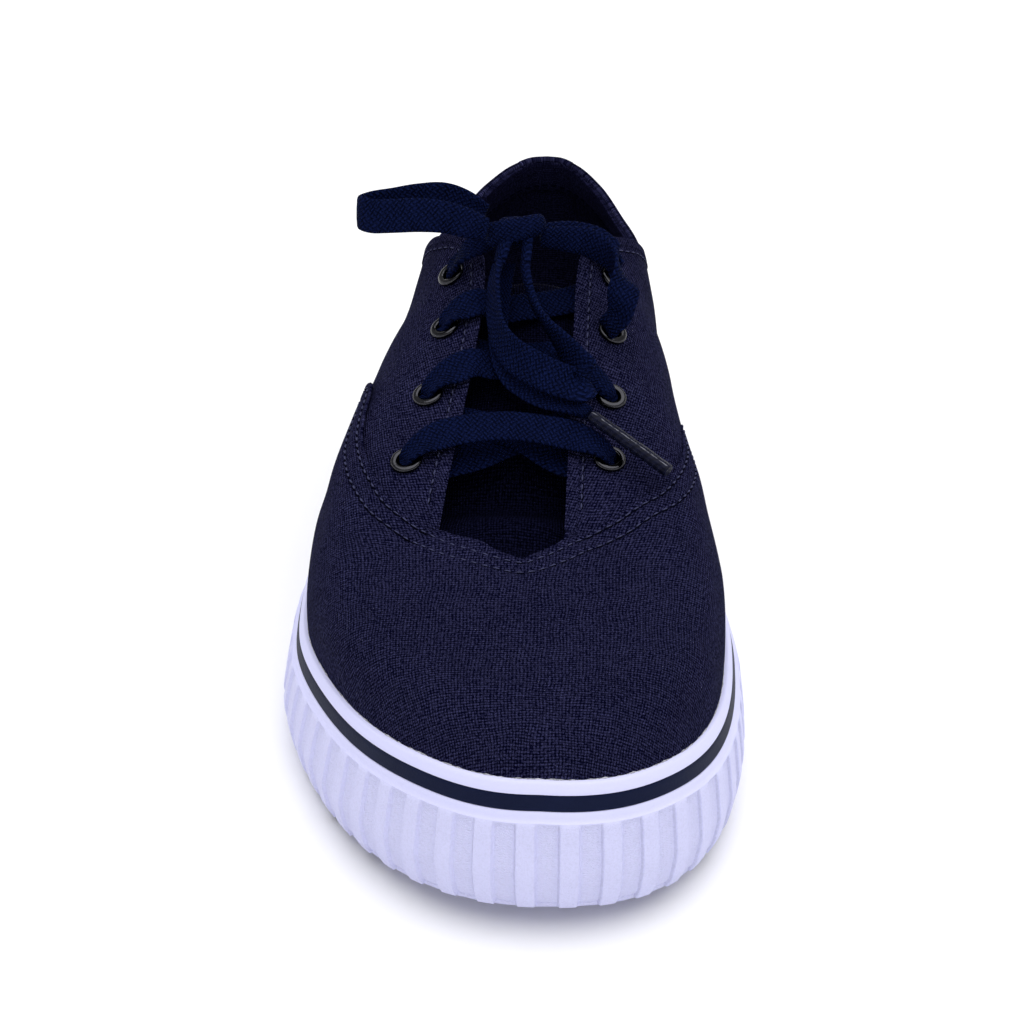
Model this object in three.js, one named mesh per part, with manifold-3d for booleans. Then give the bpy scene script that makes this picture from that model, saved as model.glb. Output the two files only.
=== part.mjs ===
// Canvas lace-up sneaker, right shoe, with a vulcanised rubber sidewall.
// Millimetres, +Z up. The toe points along -Y, the inner (medial) side along +X.
// The origin is on the ground, under the middle of the shoe's length and width.
import * as THREE from 'three';
import { mergeVertices } from 'three/addons/utils/BufferGeometryUtils.js';
import Module from 'manifold-3d';

const wasm = await Module();
wasm.setup();

// ---- driving dimensions -------------------------------------------------------
const LENGTH = 290;              // sole, toe to heel
const BALL_WIDTH = 111;          // sole, across the ball
const TOE_TIP_X = 9.4;           // the toe leans to the inner side
const TOE_ROUND = { depth: 90, power: 2.3 };
const HEEL_ROUND = { depth: 42, power: 2.3 };
const WALL = 2;                  // upper: canvas, interlining and lining
const GAP = 0.3;                 // between pieces that touch
const FEATHER_INSET = 3.5;       // upper's lower edge, inside the sole's outline
const SOLE_LIFT = 0.4;           // sidewall's lower edge above the lugs
const CURVE_ROWS = 9;            // steps up the upper above the sidewall

// ---- tables ---------------------------------------------------------------------
// Half widths as shares of the ball width, at shares of the length from the toe.
const WIDTHS = [
  { at: 0.00, lateral: 0.435, medial: 0.500 },
  { at: 0.15, lateral: 0.465, medial: 0.509 },
  { at: 0.26, lateral: 0.497, medial: 0.509 },
  { at: 0.36, lateral: 0.510, medial: 0.488 },
  { at: 0.44, lateral: 0.485, medial: 0.447 },
  { at: 0.52, lateral: 0.437, medial: 0.403 },
  { at: 0.64, lateral: 0.370, medial: 0.353 },
  { at: 0.78, lateral: 0.330, medial: 0.340 },
  { at: 0.90, lateral: 0.319, medial: 0.345 },
  { at: 1.00, lateral: 0.315, medial: 0.345 },
];
// Sole's line from the toe: lower face, and the bed that carries the insole.
const SOLE_LINE = [
  { at: 0.00, under: 7.0, bed: 19.0 },
  { at: 0.06, under: 4.2, bed: 16.0 },
  { at: 0.14, under: 1.5, bed: 13.0 },
  { at: 0.24, under: 0.0, bed: 11.6 },
  { at: 0.42, under: 0.0, bed: 11.6 },
  { at: 0.58, under: 2.0, bed: 13.0 },
  { at: 0.73, under: 0.0, bed: 14.0 },
  { at: 0.95, under: 0.0, bed: 14.4 },
  { at: 1.00, under: 0.8, bed: 14.6 },
];
// Height of the sidewall's top edge: turn 0 is the toe tip, 180 the heel.
const SIDEWALL_TOP = [
  { turn: 0, z: 38.2 },
  { turn: 20, z: 36.6 },
  { turn: 40, z: 32.6 },
  { turn: 62, z: 28.8 },
  { turn: 95, z: 26.4 },
  { turn: 150, z: 26.6 },
  { turn: 180, z: 28.6 },
];
// How far inside the outline the upper's face meets that edge, on either side.
const BAND_INSET = 5.4;
const TOP_INSET = [
  { turn: 0, lateral: 6.4, medial: 6.4 },
  { turn: 20, lateral: 7.5, medial: 6.6 },
  { turn: 40, lateral: 8, medial: 6.7 },
  { turn: 62, lateral: 7.7, medial: 6.8 },
  { turn: 80, lateral: 7, medial: 6.6 },
  { turn: 100, lateral: 6, medial: 5.8 },
  { turn: 130, lateral: BAND_INSET, medial: BAND_INSET },
  { turn: 180, lateral: BAND_INSET, medial: BAND_INSET },
];
// Sidewall's smooth band, by distance below its top edge, and how far out it is.
const SIDEWALL_BAND = [
  { down: 0.0, out: -3.4 },
  { down: 2.4, out: -2.3 },
  { down: 7.2, out: -1.2 },
  { down: 8.1, out: -0.4 },
];
// Sidewall's ribbed part below that: share of the way down, and how far out.
const SIDEWALL_RIBS = [
  { share: 0.45, out: 0.0 },
  { share: 0.84, out: -1.1 },
  { share: 1.00, out: -2.7 },
];
// Upper's top edge by turn, from the toe's end of the throat to the heel: its place
// along the shoe (y), its height (z), and how far out it is on each side.
const TOP_EDGE = [
  { turn: 0, y: -72.5, z: 50.2, lateral: -3.2, medial: 3.2 },
  { turn: 22, y: -68.5, z: 51, lateral: 6.8, medial: 8.2 },
  { turn: 42, y: -62, z: 52.4, lateral: 16.9, medial: 12.7 },
  { turn: 55, y: -48, z: 59, lateral: 15.7, medial: 12.9 },
  { turn: 68, y: -30, z: 67.8, lateral: 13.5, medial: 13.1 },
  { turn: 80, y: -12, z: 76.8, lateral: 11.5, medial: 13.2 },
  { turn: 92, y: 6, z: 85.6, lateral: 10.3, medial: 13.4 },
  { turn: 97, y: 15, z: 90.6, lateral: 10.9, medial: 14.1 },
  { turn: 101, y: 22, z: 93.6, lateral: 16.8, medial: 20.2 },
  { turn: 105, y: 30, z: 90.4, lateral: 23.8, medial: 27.2 },
  { turn: 110, y: 42, z: 83, lateral: 27.9, medial: 30.7 },
  { turn: 117, y: 61, z: 74.2, lateral: 29.9, medial: 31.5 },
  { turn: 126, y: 81, z: 68.4, lateral: 29.3, medial: 30.5 },
  { turn: 138, y: 104, z: 68.2, lateral: 25.1, medial: 26.3 },
  { turn: 152, y: 126, z: 71.6, lateral: 16.9, medial: 18.7 },
  { turn: 165, y: 135.2, z: 75, lateral: 8.9, medial: 11.3 },
  { turn: 175, y: 138, z: 76.6, lateral: 2.3, medial: 5.3 },
  { turn: 180, y: 138.2, z: 76.8, lateral: -1.7, medial: 1.7 },
];
// Upper's section by turn. Its wall leans outwards by degrees on each side and rises
// straight for a length. At the top edge it falls outwards by degrees for a length.
const SECTIONS = [
  { turn: 0, lateralLean: -28, medialLean: -28, rise: 15, fall: 4, crown: 44 },
  { turn: 22, lateralLean: -20, medialLean: -20, rise: 17, fall: 8, crown: 36 },
  { turn: 42, lateralLean: -1, medialLean: -1, rise: 19, fall: 12, crown: 26 },
  { turn: 55, lateralLean: 2, medialLean: 5, rise: 21, fall: 13, crown: 25 },
  { turn: 68, lateralLean: 2, medialLean: 7, rise: 25, fall: 13, crown: 24 },
  { turn: 80, lateralLean: 3, medialLean: 8, rise: 28, fall: 12, crown: 24 },
  { turn: 92, lateralLean: 5, medialLean: 11, rise: 30, fall: 12, crown: 24 },
  { turn: 97, lateralLean: 6, medialLean: 13, rise: 30, fall: 18, crown: 22 },
  { turn: 101, lateralLean: 8, medialLean: 13, rise: 28, fall: 38, crown: 17 },
  { turn: 105, lateralLean: 8, medialLean: 12, rise: 26, fall: 60, crown: 15 },
  { turn: 110, lateralLean: 8, medialLean: 11, rise: 22, fall: 72, crown: 14 },
  { turn: 117, lateralLean: 8, medialLean: 9, rise: 18, fall: 78, crown: 13 },
  { turn: 126, lateralLean: 8, medialLean: 8, rise: 15, fall: 80, crown: 13 },
  { turn: 138, lateralLean: 9, medialLean: 9, rise: 14, fall: 82, crown: 13 },
  { turn: 152, lateralLean: 11, medialLean: 11, rise: 15, fall: 84, crown: 14 },
  { turn: 165, lateralLean: 13, medialLean: 13, rise: 16, fall: 84, crown: 15 },
  { turn: 175, lateralLean: 14, medialLean: 14, rise: 16, fall: 84, crown: 15 },
  { turn: 180, lateralLean: 14, medialLean: 14, rise: 16, fall: 84, crown: 15 },
];

// ---- small helpers ------------------------------------------------------------
const rad = THREE.MathUtils.degToRad;

// Value of one column at x, by a curve that keeps flats flat and never overshoots.
function lookUp(table, key, column, x) {
  const last = table.length - 1;
  const slopeOf = (i) => (table[i + 1][column] - table[i][column]) / (table[i + 1][key] - table[i][key]);
  const tangent = (i) => {
    if (i === 0) return slopeOf(0);
    if (i === last) return slopeOf(last - 1);
    const before = slopeOf(i - 1);
    const after = slopeOf(i);
    return before * after <= 0 ? 0 : (2 * before * after) / (before + after);
  };
  const clamped = Math.min(Math.max(x, table[0][key]), table[last][key]);
  let i = 0;
  while (i < last - 1 && clamped > table[i + 1][key]) i += 1;
  const step = table[i + 1][key] - table[i][key];
  const t = (clamped - table[i][key]) / step;
  return table[i][column] * (1 + 2 * t) * (1 - t) ** 2
    + tangent(i) * step * t * (1 - t) ** 2
    + table[i + 1][column] * t * t * (3 - 2 * t)
    + tangent(i + 1) * step * t * t * (t - 1);
}

// Closed body from triangles, facing outwards whichever way they were listed.
function closedBody(points, faces) {
  const geometry = new THREE.BufferGeometry();
  const position = [];
  points.forEach((p) => position.push(p.x, p.y, p.z));
  let volume = 0;
  faces.forEach(([a, b, c]) => {
    volume += points[a].dot(new THREE.Vector3().crossVectors(points[b], points[c]));
  });
  const index = faces.flatMap(([a, b, c]) => (volume > 0 ? [a, b, c] : [a, c, b]));
  geometry.setAttribute('position', new THREE.Float32BufferAttribute(position, 3));
  geometry.setIndex(index);
  return geometry;
}

// Sections joined in order; each is a closed loop of points. ring: the last joins
// the first. Otherwise both ends are capped.
function loft(sections, ring) {
  const count = sections[0].length;
  const points = sections.flat();
  const faces = [];
  const joins = ring ? sections.length : sections.length - 1;
  for (let s = 0; s < joins; s += 1) {
    const next = (s + 1) % sections.length;
    for (let i = 0; i < count; i += 1) {
      const j = (i + 1) % count;
      const [a, b, c, d] = [s * count + i, s * count + j, next * count + j, next * count + i];
      faces.push([a, b, c], [a, c, d]);
    }
  }
  if (!ring) {
    const end = (sections.length - 1) * count;
    for (let i = 1; i < count - 1; i += 1) {
      faces.push([0, i + 1, i], [end, end + i, end + i + 1]);
    }
  }
  return closedBody(points, faces);
}

function toManifold(geometry) {
  const bare = geometry.clone();
  bare.deleteAttribute('normal');
  bare.deleteAttribute('uv');
  const merged = mergeVertices(bare, 1e-4);
  return new wasm.Manifold(new wasm.Mesh({
    numProp: 3,
    vertProperties: new Float32Array(merged.attributes.position.array),
    triVerts: new Uint32Array(merged.index.array),
  }));
}

function fromManifold(solid) {
  const mesh = solid.getMesh();
  const geometry = new THREE.BufferGeometry();
  geometry.setAttribute('position', new THREE.BufferAttribute(mesh.vertProperties, 3));
  geometry.setIndex(new THREE.BufferAttribute(mesh.triVerts, 1));
  return geometry;
}

// ---- the last: outline, sole line and upper sections -----------------------------
const alongShare = (y) => y / LENGTH + 0.5;
const under = (y) => lookUp(SOLE_LINE, 'at', 'under', alongShare(y));
const bed = (y) => lookUp(SOLE_LINE, 'at', 'bed', alongShare(y));

function endRound(distance, { depth, power }) {
  const r = Math.min(Math.max(1 - distance / depth, 0), 1);
  return (1 - r ** power) ** (1 / power);
}

// Point of the sole's outline. turn 0..180 runs down the outer side, 180..360 back.
function outlinePoint(turn) {
  const fromToe = (LENGTH * (1 - Math.cos(rad(turn)))) / 2;
  const side = Math.sin(rad(turn)) >= 0 ? 'lateral' : 'medial';
  const ends = endRound(fromToe, TOE_ROUND) * endRound(LENGTH - fromToe, HEEL_ROUND);
  const half = BALL_WIDTH * lookUp(WIDTHS, 'at', side, fromToe / LENGTH) * ends;
  const lean = TOE_TIP_X * Math.max(0, 1 - fromToe / (0.28 * LENGTH)) ** 1.6;
  return new THREE.Vector2(lean + (side === 'lateral' ? -half : half), fromToe - LENGTH / 2);
}

// The same point moved out (or in) square to the outline, with that direction.
function outline(turn, out) {
  const step = 1;
  const along = outlinePoint(turn + step).sub(outlinePoint(turn - step)).normalize();
  const normal = new THREE.Vector2(-along.y, along.x);
  return { at: outlinePoint(turn).addScaledVector(normal, out), normal };
}

const foldTurn = (turn) => Math.abs(turn > 180 ? 360 - turn : turn);
const sideOf = (turn) => (turn <= 180 ? 'lateral' : 'medial');
const sidewallTop = (turn) => lookUp(SIDEWALL_TOP, 'turn', 'z', foldTurn(turn));
const topInset = (turn) => lookUp(TOP_INSET, 'turn', sideOf(turn), foldTurn(turn));
const rim = (turn, out, z) => {
  const { at } = outline(turn, out);
  return new THREE.Vector3(at.x, at.y, z);
};

// Upper's lower edge, on the sole's bed.
function feather(turn, inset) {
  const { at } = outline(turn, -inset);
  return new THREE.Vector3(at.x, at.y, bed(outlinePoint(turn).y) + GAP);
}

// One upper section above the sidewall: its top edge, two handles and the shoe's edge.
function sectionCurve(turn) {
  const row = (column) => lookUp(SECTIONS, 'turn', column, foldTurn(turn));
  const edgeRow = (column) => lookUp(TOP_EDGE, 'turn', column, foldTurn(turn));
  const side = sideOf(turn);
  const { normal } = outline(turn, 0);
  const outwards = new THREE.Vector3(normal.x, normal.y, 0);
  const start = rim(turn, -topInset(turn), sidewallTop(turn));
  const reach = side === 'lateral' ? -edgeRow(side) : edgeRow(side);
  const edge = new THREE.Vector3(reach, edgeRow('y'), edgeRow('z'));
  const lean = rad(row(`${side}Lean`));
  const lower = start.clone().addScaledVector(outwards, row('rise') * Math.sin(lean));
  lower.z += row('rise') * Math.cos(lean);
  const fall = rad(row('fall'));
  const upper = edge.clone().addScaledVector(outwards, row('crown') * Math.cos(fall));
  upper.z -= row('crown') * Math.sin(fall);
  return new THREE.CubicBezierCurve3(start, lower, upper, edge);
}

// Upper's outer face: up 0 at the sidewall's top edge, 1 at the top edge.
const faceAt = (turn, up) => sectionCurve((turn + 360) % 360).getPoint(up);

function faceNormal(turn, up) {
  const step = 0.02;
  const lower = Math.max(up - step, 0);
  const upper = Math.min(up + step, 1);
  const rise = faceAt(turn, upper).sub(faceAt(turn, lower));
  const across = faceAt(turn + 1, up).sub(faceAt(turn - 1, up));
  return new THREE.Vector3().crossVectors(rise, across).normalize();
}

// Steps around the shoe, closer together at the throat's and the collar's corners.
const STEPS = [
  { from: 0, to: 36, count: 8 },
  { from: 36, to: 48, count: 4 },
  { from: 48, to: 93, count: 10 },
  { from: 93, to: 111, count: 7 },
  { from: 111, to: 180, count: 14 },
];
const lateralTurns = STEPS.flatMap(({ from, to, count }) => (
  Array.from({ length: count }, (_, i) => from + ((to - from) * i) / count)));
const turns = [...lateralTurns, 180, ...lateralTurns.slice(1).map((turn) => 360 - turn).reverse()];

// ---- eyelets ----------------------------------------------------------------------
// Rows from the top down, by their place along the shoe, and how far each side's
// eyelets stand back from the throat's edge.
const EYELET_ROWS = [
  { row: 1, y: 13, lateral: 9.3, medial: 10 },
  { row: 2, y: -3.6, lateral: 9.3, medial: 10 },
  { row: 3, y: -22.2, lateral: 10.2, medial: 10 },
  { row: 4, y: -39, lateral: 12.5, medial: 10.2 },
];
const EYELET = { bore: 2.1, barrel: 2.5, hole: 2.9, flange: 3.9, clinch: 3.3, sides: 10 };
// Ring's outline: distance from its axis, and height above the upper's face.
const EYELET_RING = [
  { r: EYELET.bore, z: -WALL - 1.1 },
  { r: EYELET.clinch, z: -WALL - 1.1 },
  { r: EYELET.clinch, z: -WALL - 0.75 },
  { r: EYELET.barrel, z: -WALL - 0.75 },
  { r: EYELET.barrel, z: 0.7 },
  { r: EYELET.flange, z: 0.7 },
  { r: EYELET.flange - 0.2, z: 1.1 },
  { r: EYELET.flange - 0.9, z: 1.4 },
  { r: EYELET.bore, z: 1.0 },
];

// Turn of the section whose top edge is at y, on the throat's straight part.
function turnAtEdge(y) {
  let [low, high] = [42, 101];
  while (high - low > 0.01) {
    const middle = (low + high) / 2;
    if (lookUp(TOP_EDGE, 'turn', 'y', middle) < y) low = middle;
    else high = middle;
  }
  return low;
}

// Place and facing of a spot on the upper's face, a distance back from the throat.
function spotOnFacing(side, y, back) {
  const turn = side === 'lateral' ? turnAtEdge(y) : 360 - turnAtEdge(y);
  const step = 0.002;
  let up = 1;
  let walked = 0;
  while (walked < back) {
    walked += faceAt(turn, up).distanceTo(faceAt(turn, up - step));
    up -= step;
  }
  return { at: faceAt(turn, up), normal: faceNormal(turn, up) };
}

const eyelets = EYELET_ROWS.flatMap((line) => ['lateral', 'medial'].map((side) => ({
  side, row: line.row, ...spotOnFacing(side, line.y, line[side]),
})));
const eyeletAt = (side, row) => eyelets.find((one) => one.side === side && one.row === row);
const facing = (normal) => new THREE.Quaternion().setFromUnitVectors(new THREE.Vector3(0, 0, 1), normal);

function eyeletRing() {
  const profile = [...EYELET_RING, EYELET_RING[0]].map(({ r, z }) => new THREE.Vector2(r, z));
  return new THREE.LatheGeometry(profile, EYELET.sides).rotateX(Math.PI / 2);
}

function eyeletHole({ at, normal }) {
  const hole = new THREE.CylinderGeometry(EYELET.hole, EYELET.hole, 5 * WALL, EYELET.sides);
  return hole.rotateX(Math.PI / 2).applyQuaternion(facing(normal)).translate(at.x, at.y, at.z);
}

// ---- upper ----------------------------------------------------------------------
function upperShell() {
  const sections = turns.map((turn) => {
    const outer = [feather(turn, FEATHER_INSET)];
    const inner = [feather(turn, FEATHER_INSET + WALL)];
    for (let i = 0; i <= CURVE_ROWS; i += 1) {
      const point = faceAt(turn, i / CURVE_ROWS);
      outer.push(point);
      inner.push(point.clone().addScaledVector(faceNormal(turn, i / CURVE_ROWS), -WALL));
    }
    return [...outer, ...inner.reverse()];
  });
  let shell = toManifold(loft(sections, true));
  eyelets.forEach((eyelet) => {
    shell = shell.subtract(toManifold(eyeletHole(eyelet)));
  });
  return fromManifold(shell);
}

// ---- rubber -----------------------------------------------------------------------
const RIBS_LEAN = 0.55;          // share of the ribs' height that leans in to the band
function sidewall() {
  const sections = turns.map((turn) => {
    const lower = under(outlinePoint(turn).y) + SOLE_LIFT;
    const top = sidewallTop(turn);
    const drawnIn = topInset(turn) - BAND_INSET;
    const band = SIDEWALL_BAND.map(({ down, out }) => rim(turn, out - drawnIn, top - down));
    const ribsTop = top - SIDEWALL_BAND[SIDEWALL_BAND.length - 1].down;
    const ribs = SIDEWALL_RIBS.map(({ share, out }) => (
      rim(turn, out - drawnIn * Math.max(0, 1 - share / RIBS_LEAN), ribsTop + (lower - ribsTop) * share)));
    const inner = [
      rim(turn, GAP - FEATHER_INSET, lower),
      feather(turn, FEATHER_INSET - GAP),
      rim(turn, GAP - topInset(turn), top),
    ];
    return [...band, ...ribs, ...inner];
  });
  return loft(sections, true);
}

const GROOVE = { depth: 2, width: 3, pitch: 13, chevron: 9, fromToe: 8, fromHeel: 14, past: 5 };
const PLATE_END = 0.5;           // half width of a plate's tip, toe and heel

// Plate inside the outline, joined across from one side to the other.
function plate(inset, lowerZ, upperZ) {
  const sections = [...lateralTurns, 180].map((turn) => {
    const lateral = rim(turn, -inset, 0);
    const medial = rim(360 - turn, -inset, 0);
    const end = turn % 180 === 0;
    if (end) {
      lateral.x -= PLATE_END;
      medial.x += PLATE_END;
    }
    const { y } = outlinePoint(turn);
    return [[lateral, lowerZ], [medial, lowerZ], [medial, upperZ], [lateral, upperZ]]
      .map(([p, height]) => new THREE.Vector3(p.x, p.y, height(y)));
  });
  return loft(sections, false);
}

function groove(y) {
  const half = BALL_WIDTH / 2 + GROOVE.past;
  const shape = new THREE.Shape();
  shape.moveTo(-half, y + GROOVE.chevron);
  shape.lineTo(0, y);
  shape.lineTo(half, y + GROOVE.chevron);
  shape.lineTo(half, y + GROOVE.chevron + GROOVE.width);
  shape.lineTo(0, y + GROOVE.width);
  shape.lineTo(-half, y + GROOVE.chevron + GROOVE.width);
  const ceiling = under(y + GROOVE.chevron / 2) + GROOVE.depth;
  const cut = new THREE.ExtrudeGeometry(shape, { depth: ceiling + GROOVE.past, bevelEnabled: false });
  return cut.translate(0, 0, -GROOVE.past);
}

function outsole() {
  let solid = toManifold(plate(FEATHER_INSET, under, bed));
  for (let y = GROOVE.fromToe - LENGTH / 2; y < LENGTH / 2 - GROOVE.fromHeel; y += GROOVE.pitch) {
    solid = solid.subtract(toManifold(groove(y)));
  }
  return fromManifold(solid);
}

// ---- insole and tongue --------------------------------------------------------
const INSOLE = { thick: 4, inset: 7 };
const insole = () => plate(INSOLE.inset, (y) => bed(y) + GAP, (y) => bed(y) + GAP + INSOLE.thick);

const TONGUE_THICK = 2.6;
// Tongue from its root under the vamp to its free end: middle, half width, side drop.
const TONGUE = [
  { y: -90, z: 43.5, half: 21, drop: 2.5, middle: -0.3 },
  { y: -76, z: 44.6, half: 23, drop: 3, middle: -0.3 },
  { y: -62, z: 46.4, half: 25, drop: 4, middle: -0.8 },
  { y: -44, z: 53, half: 27, drop: 5.5, middle: -0.3 },
  { y: -26, z: 62, half: 27, drop: 7, middle: 0.2 },
  { y: -8, z: 71.6, half: 25, drop: 8, middle: 0.7 },
  { y: 6, z: 79.4, half: 23, drop: 8.5, middle: 1.2 },
  { y: 15, z: 84.6, half: 21, drop: 8.5, middle: 1.7 },
];

function tongue() {
  const across = 10;
  const stations = 15;
  const first = TONGUE[0].y;
  const span = TONGUE[TONGUE.length - 1].y - first;
  const sections = [];
  for (let s = 0; s <= stations; s += 1) {
    const y = first + (span * s) / stations;
    const row = (column) => lookUp(TONGUE, 'y', column, y);
    const pitch = Math.atan(row('z') - lookUp(TONGUE, 'y', 'z', y - 1));
    const inwards = new THREE.Vector3(0, Math.sin(pitch), -Math.cos(pitch));
    const face = [];
    const back = [];
    for (let i = 0; i <= across; i += 1) {
      const share = (2 * i) / across - 1;
      const x = row('middle') + share * row('half');
      const point = new THREE.Vector3(x, y, row('z') - row('drop') * share ** 2);
      face.push(point);
      back.push(point.clone().addScaledVector(inwards, TONGUE_THICK));
    }
    sections.push([...face, ...back.reverse()]);
  }
  return loft(sections, false);
}

// ---- lace -------------------------------------------------------------------------
const UP_THE_SLOPE = [0, 0.89, 0.45];
const LACE = { width: 8.5, thick: 1.4, above: 2.6, below: 4.6, rise: 4 };
// Free lengths of the lace, from the knot. wide is the direction of the lace's width.
const LOOP_LATERAL = [
  { x: -9.6, y: 6.5, z: 101.5, wide: [0.1, 0.4, 0.9], width: 6 },
  { x: -14.2, y: 5, z: 103.6, wide: [0.1, 0.4, 0.9], width: 7.5 },
  { x: -19.6, y: 4, z: 105.4, wide: [0.05, 0.4, 0.9], width: 8 },
  { x: -26.1, y: 4, z: 105.9, wide: [0, 0.4, 0.9], width: 8.5 },
  { x: -32.5, y: 5, z: 105.2, wide: [0, 0.4, 0.9], width: 8.5 },
  { x: -35.3, y: 5.4, z: 104.9, wide: [0, 0.4, 0.9], width: 8.5 },
  { x: -37.9, y: 6, z: 104.6, wide: [0, 0.4, 0.9], width: 8.5 },
  { x: -41.2, y: 8, z: 104.6, wide: [0, 0.35, 0.9], width: 8.5 },
  { x: -42.1, y: 11, z: 103.8, wide: [0, 0.3, 0.9], width: 8.5 },
  { x: -39.4, y: 14, z: 103.9, wide: [0, 0.3, 0.9], width: 8.5 },
  { x: -33.7, y: 16, z: 104.3, wide: [0, 0.3, 0.9], width: 8.5 },
  { x: -27.3, y: 17, z: 105.2, wide: [0, 0.3, 0.9], width: 8.5 },
  { x: -20.7, y: 17.5, z: 105.6, wide: [0, 0.3, 0.9], width: 8 },
  { x: -15.5, y: 17, z: 104.4, wide: [0, 0.3, 0.9], width: 7 },
  { x: -10.2, y: 15.5, z: 102.4, wide: [0, 0.3, 0.9], width: 5 },
];
const LOOP_FRONT = [
  { x: -6.2, y: 4, z: 93.8, wide: [0.3, -0.7, 0.6], width: 4.5 },
  { x: -7, y: -0.4, z: 91.3, wide: [0.35, -0.68, 0.64], width: 6.5 },
  { x: -7.1, y: -4.9, z: 87.6, wide: [0.4, -0.62, 0.66], width: 8 },
  { x: -6.5, y: -9.8, z: 84.3, wide: [0.4, -0.5, 0.76], width: 8.5 },
  { x: -4.8, y: -16, z: 81.6, wide: [0.38, -0.2, 0.9], width: 8.5 },
  { x: -1.1, y: -21.6, z: 79.4, wide: [0.3, 0.25, 0.92], width: 8.5 },
  { x: 4.1, y: -25.8, z: 78, wide: [0.2, 0.5, 0.84], width: 8.5 },
  { x: 8.9, y: -28.4, z: 76.8, wide: [0.1, 0.64, 0.76], width: 8.5 },
  { x: 12.8, y: -29.8, z: 76.1, wide: [0.05, 0.7, 0.7], width: 8.5 },
  { x: 15.6, y: -30.6, z: 75.9, wide: [0, 0.7, 0.7], width: 8.5 },
  { x: 16.8, y: -28.8, z: 76.7, wide: [0, 0.68, 0.73], width: 8.5 },
  { x: 14.2, y: -23.8, z: 78.7, wide: [0.1, 0.35, 0.9], width: 8.5 },
  { x: 10.6, y: -18.2, z: 80.9, wide: [0.15, -0.25, 0.9], width: 8 },
  { x: 6.7, y: -12, z: 83.2, wide: [0.1, -0.72, 0.62], width: 7 },
  { x: 3.4, y: -5.5, z: 85.9, wide: [0.06, -0.84, 0.5], width: 6 },
  { x: 1.4, y: -0.5, z: 89.7, wide: [0.04, -0.86, 0.5], width: 5 },
  { x: 0.4, y: 3.2, z: 93, wide: [0.04, -0.86, 0.5], width: 4.2 },
];
const LACE_END = [
  { x: -4.2, y: 8, z: 91.6, wide: [1, 0, 0], width: 4.2 },
  { x: -4.8, y: 4.8, z: 88.5, wide: [1, 0, 0], width: 4.2 },
  { x: -5.2, y: 0.9, z: 85.5, wide: [1, 0, 0], width: 4.2 },
  { x: -5.6, y: -4, z: 82.1, wide: [1, 0, 0], width: 4.4 },
  { x: -5.6, y: -9.4, z: 78.9, wide: [1, 0, 0], width: 5.2 },
  { x: -5.1, y: -11.9, z: 77.7, wide: [1, 0.05, 0], width: 5.6 },
  { x: -4.4, y: -14.4, z: 76.6, wide: [1, 0.1, 0.05], width: 6.2 },
  { x: -2.6, y: -18.6, z: 74.8, wide: [0.94, 0.35, 0.2], width: 7.4 },
  { x: 0.4, y: -22.2, z: 73, wide: [0.75, 0.6, 0.3], width: 8.5 },
  { x: 2.4, y: -23.9, z: 72.4, wide: [0.63, 0.69, 0.33], width: 8.5 },
  { x: 4, y: -25.4, z: 72, wide: [0.5, 0.77, 0.36], width: 8.5 },
  { x: 7.6, y: -28, z: 71.6, wide: [0.3, 0.85, 0.4], width: 8.5 },
  { x: 11.2, y: -30.4, z: 71.2, wide: [0.25, 0.85, 0.42], width: 7 },
  { x: 14.6, y: -33, z: 70.8, wide: [0.3, 0.84, 0.42], width: 4.6 },
  { x: 17.5, y: -35.2, z: 70.5, wide: [0.4, 0.8, 0.42], width: 3 },
];
const AGLET = { radius: 1.7, length: 24, gap: 0.8, sides: 12, tip: { x: 36.3, y: -48.2, z: 62.5 } };
const KNOT = { x: -2.6, y: 12.4, z: 97.8, halfX: 6.4, halfY: 5, halfZ: 5 };

// Flat band through rows, its width along each row's wide and its face, where the row
// has one, along that.
function band(rows) {
  const at = rows.map(({ x, y, z }) => new THREE.Vector3(x, y, z));
  const sections = rows.map((row, i) => {
    const before = at[Math.max(i - 1, 0)];
    const along = at[Math.min(i + 1, at.length - 1)].clone().sub(before).normalize();
    const across = new THREE.Vector3(...row.wide);
    const square = row.face || along;
    across.addScaledVector(square, -across.dot(square)).setLength(row.width / 2);
    const turned = new THREE.Vector3().crossVectors(along, across);
    const face = row.face ? row.face.clone() : turned;
    face.multiplyScalar(Math.sign(face.dot(turned))).setLength(LACE.thick / 2);
    return [[-1, -1], [1, -1], [1, 1], [-1, 1]]
      .map(([a, f]) => at[i].clone().addScaledVector(across, a).addScaledVector(face, f));
  });
  return loft(sections, false);
}

// The lace's row at an eyelet: rising from its bore, flat above its ring, or flat below
// its clinch.
function atEyelet(side, row, lift, wide, width) {
  const { at, normal } = eyeletAt(side, row);
  return { ...at.clone().addScaledVector(normal, lift), wide, width };
}
const rising = (side, row, wide) => atEyelet(side, row, LACE.rise, wide, 2 * EYELET.bore);
function overEyelet(side, row, lift = LACE.above) {
  const line = atEyelet(side, row, lift, UP_THE_SLOPE, 2 * EYELET.flange);
  return { ...line, face: eyeletAt(side, row).normal };
}
const underEyelet = (side, row) => overEyelet(side, row, -LACE.below);
const join = (...solids) => fromManifold(solids.map(toManifold).reduce((all, one) => all.add(one)));
const mirrored = (side) => (side === 'lateral' ? 1 : -1);
const tight = (x, y, z) => ({ x, y, z, wide: UP_THE_SLOPE, width: LACE.width });

const laceBar = () => band([
  overEyelet('lateral', 4),
  tight(-19, -39.4, 65.4),
  tight(-10, -38, 67.4),
  tight(-1.8, -37.6, 68),
  tight(6.4, -38, 67.4),
  tight(15.4, -39, 65.6),
  overEyelet('medial', 4),
]);

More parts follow.
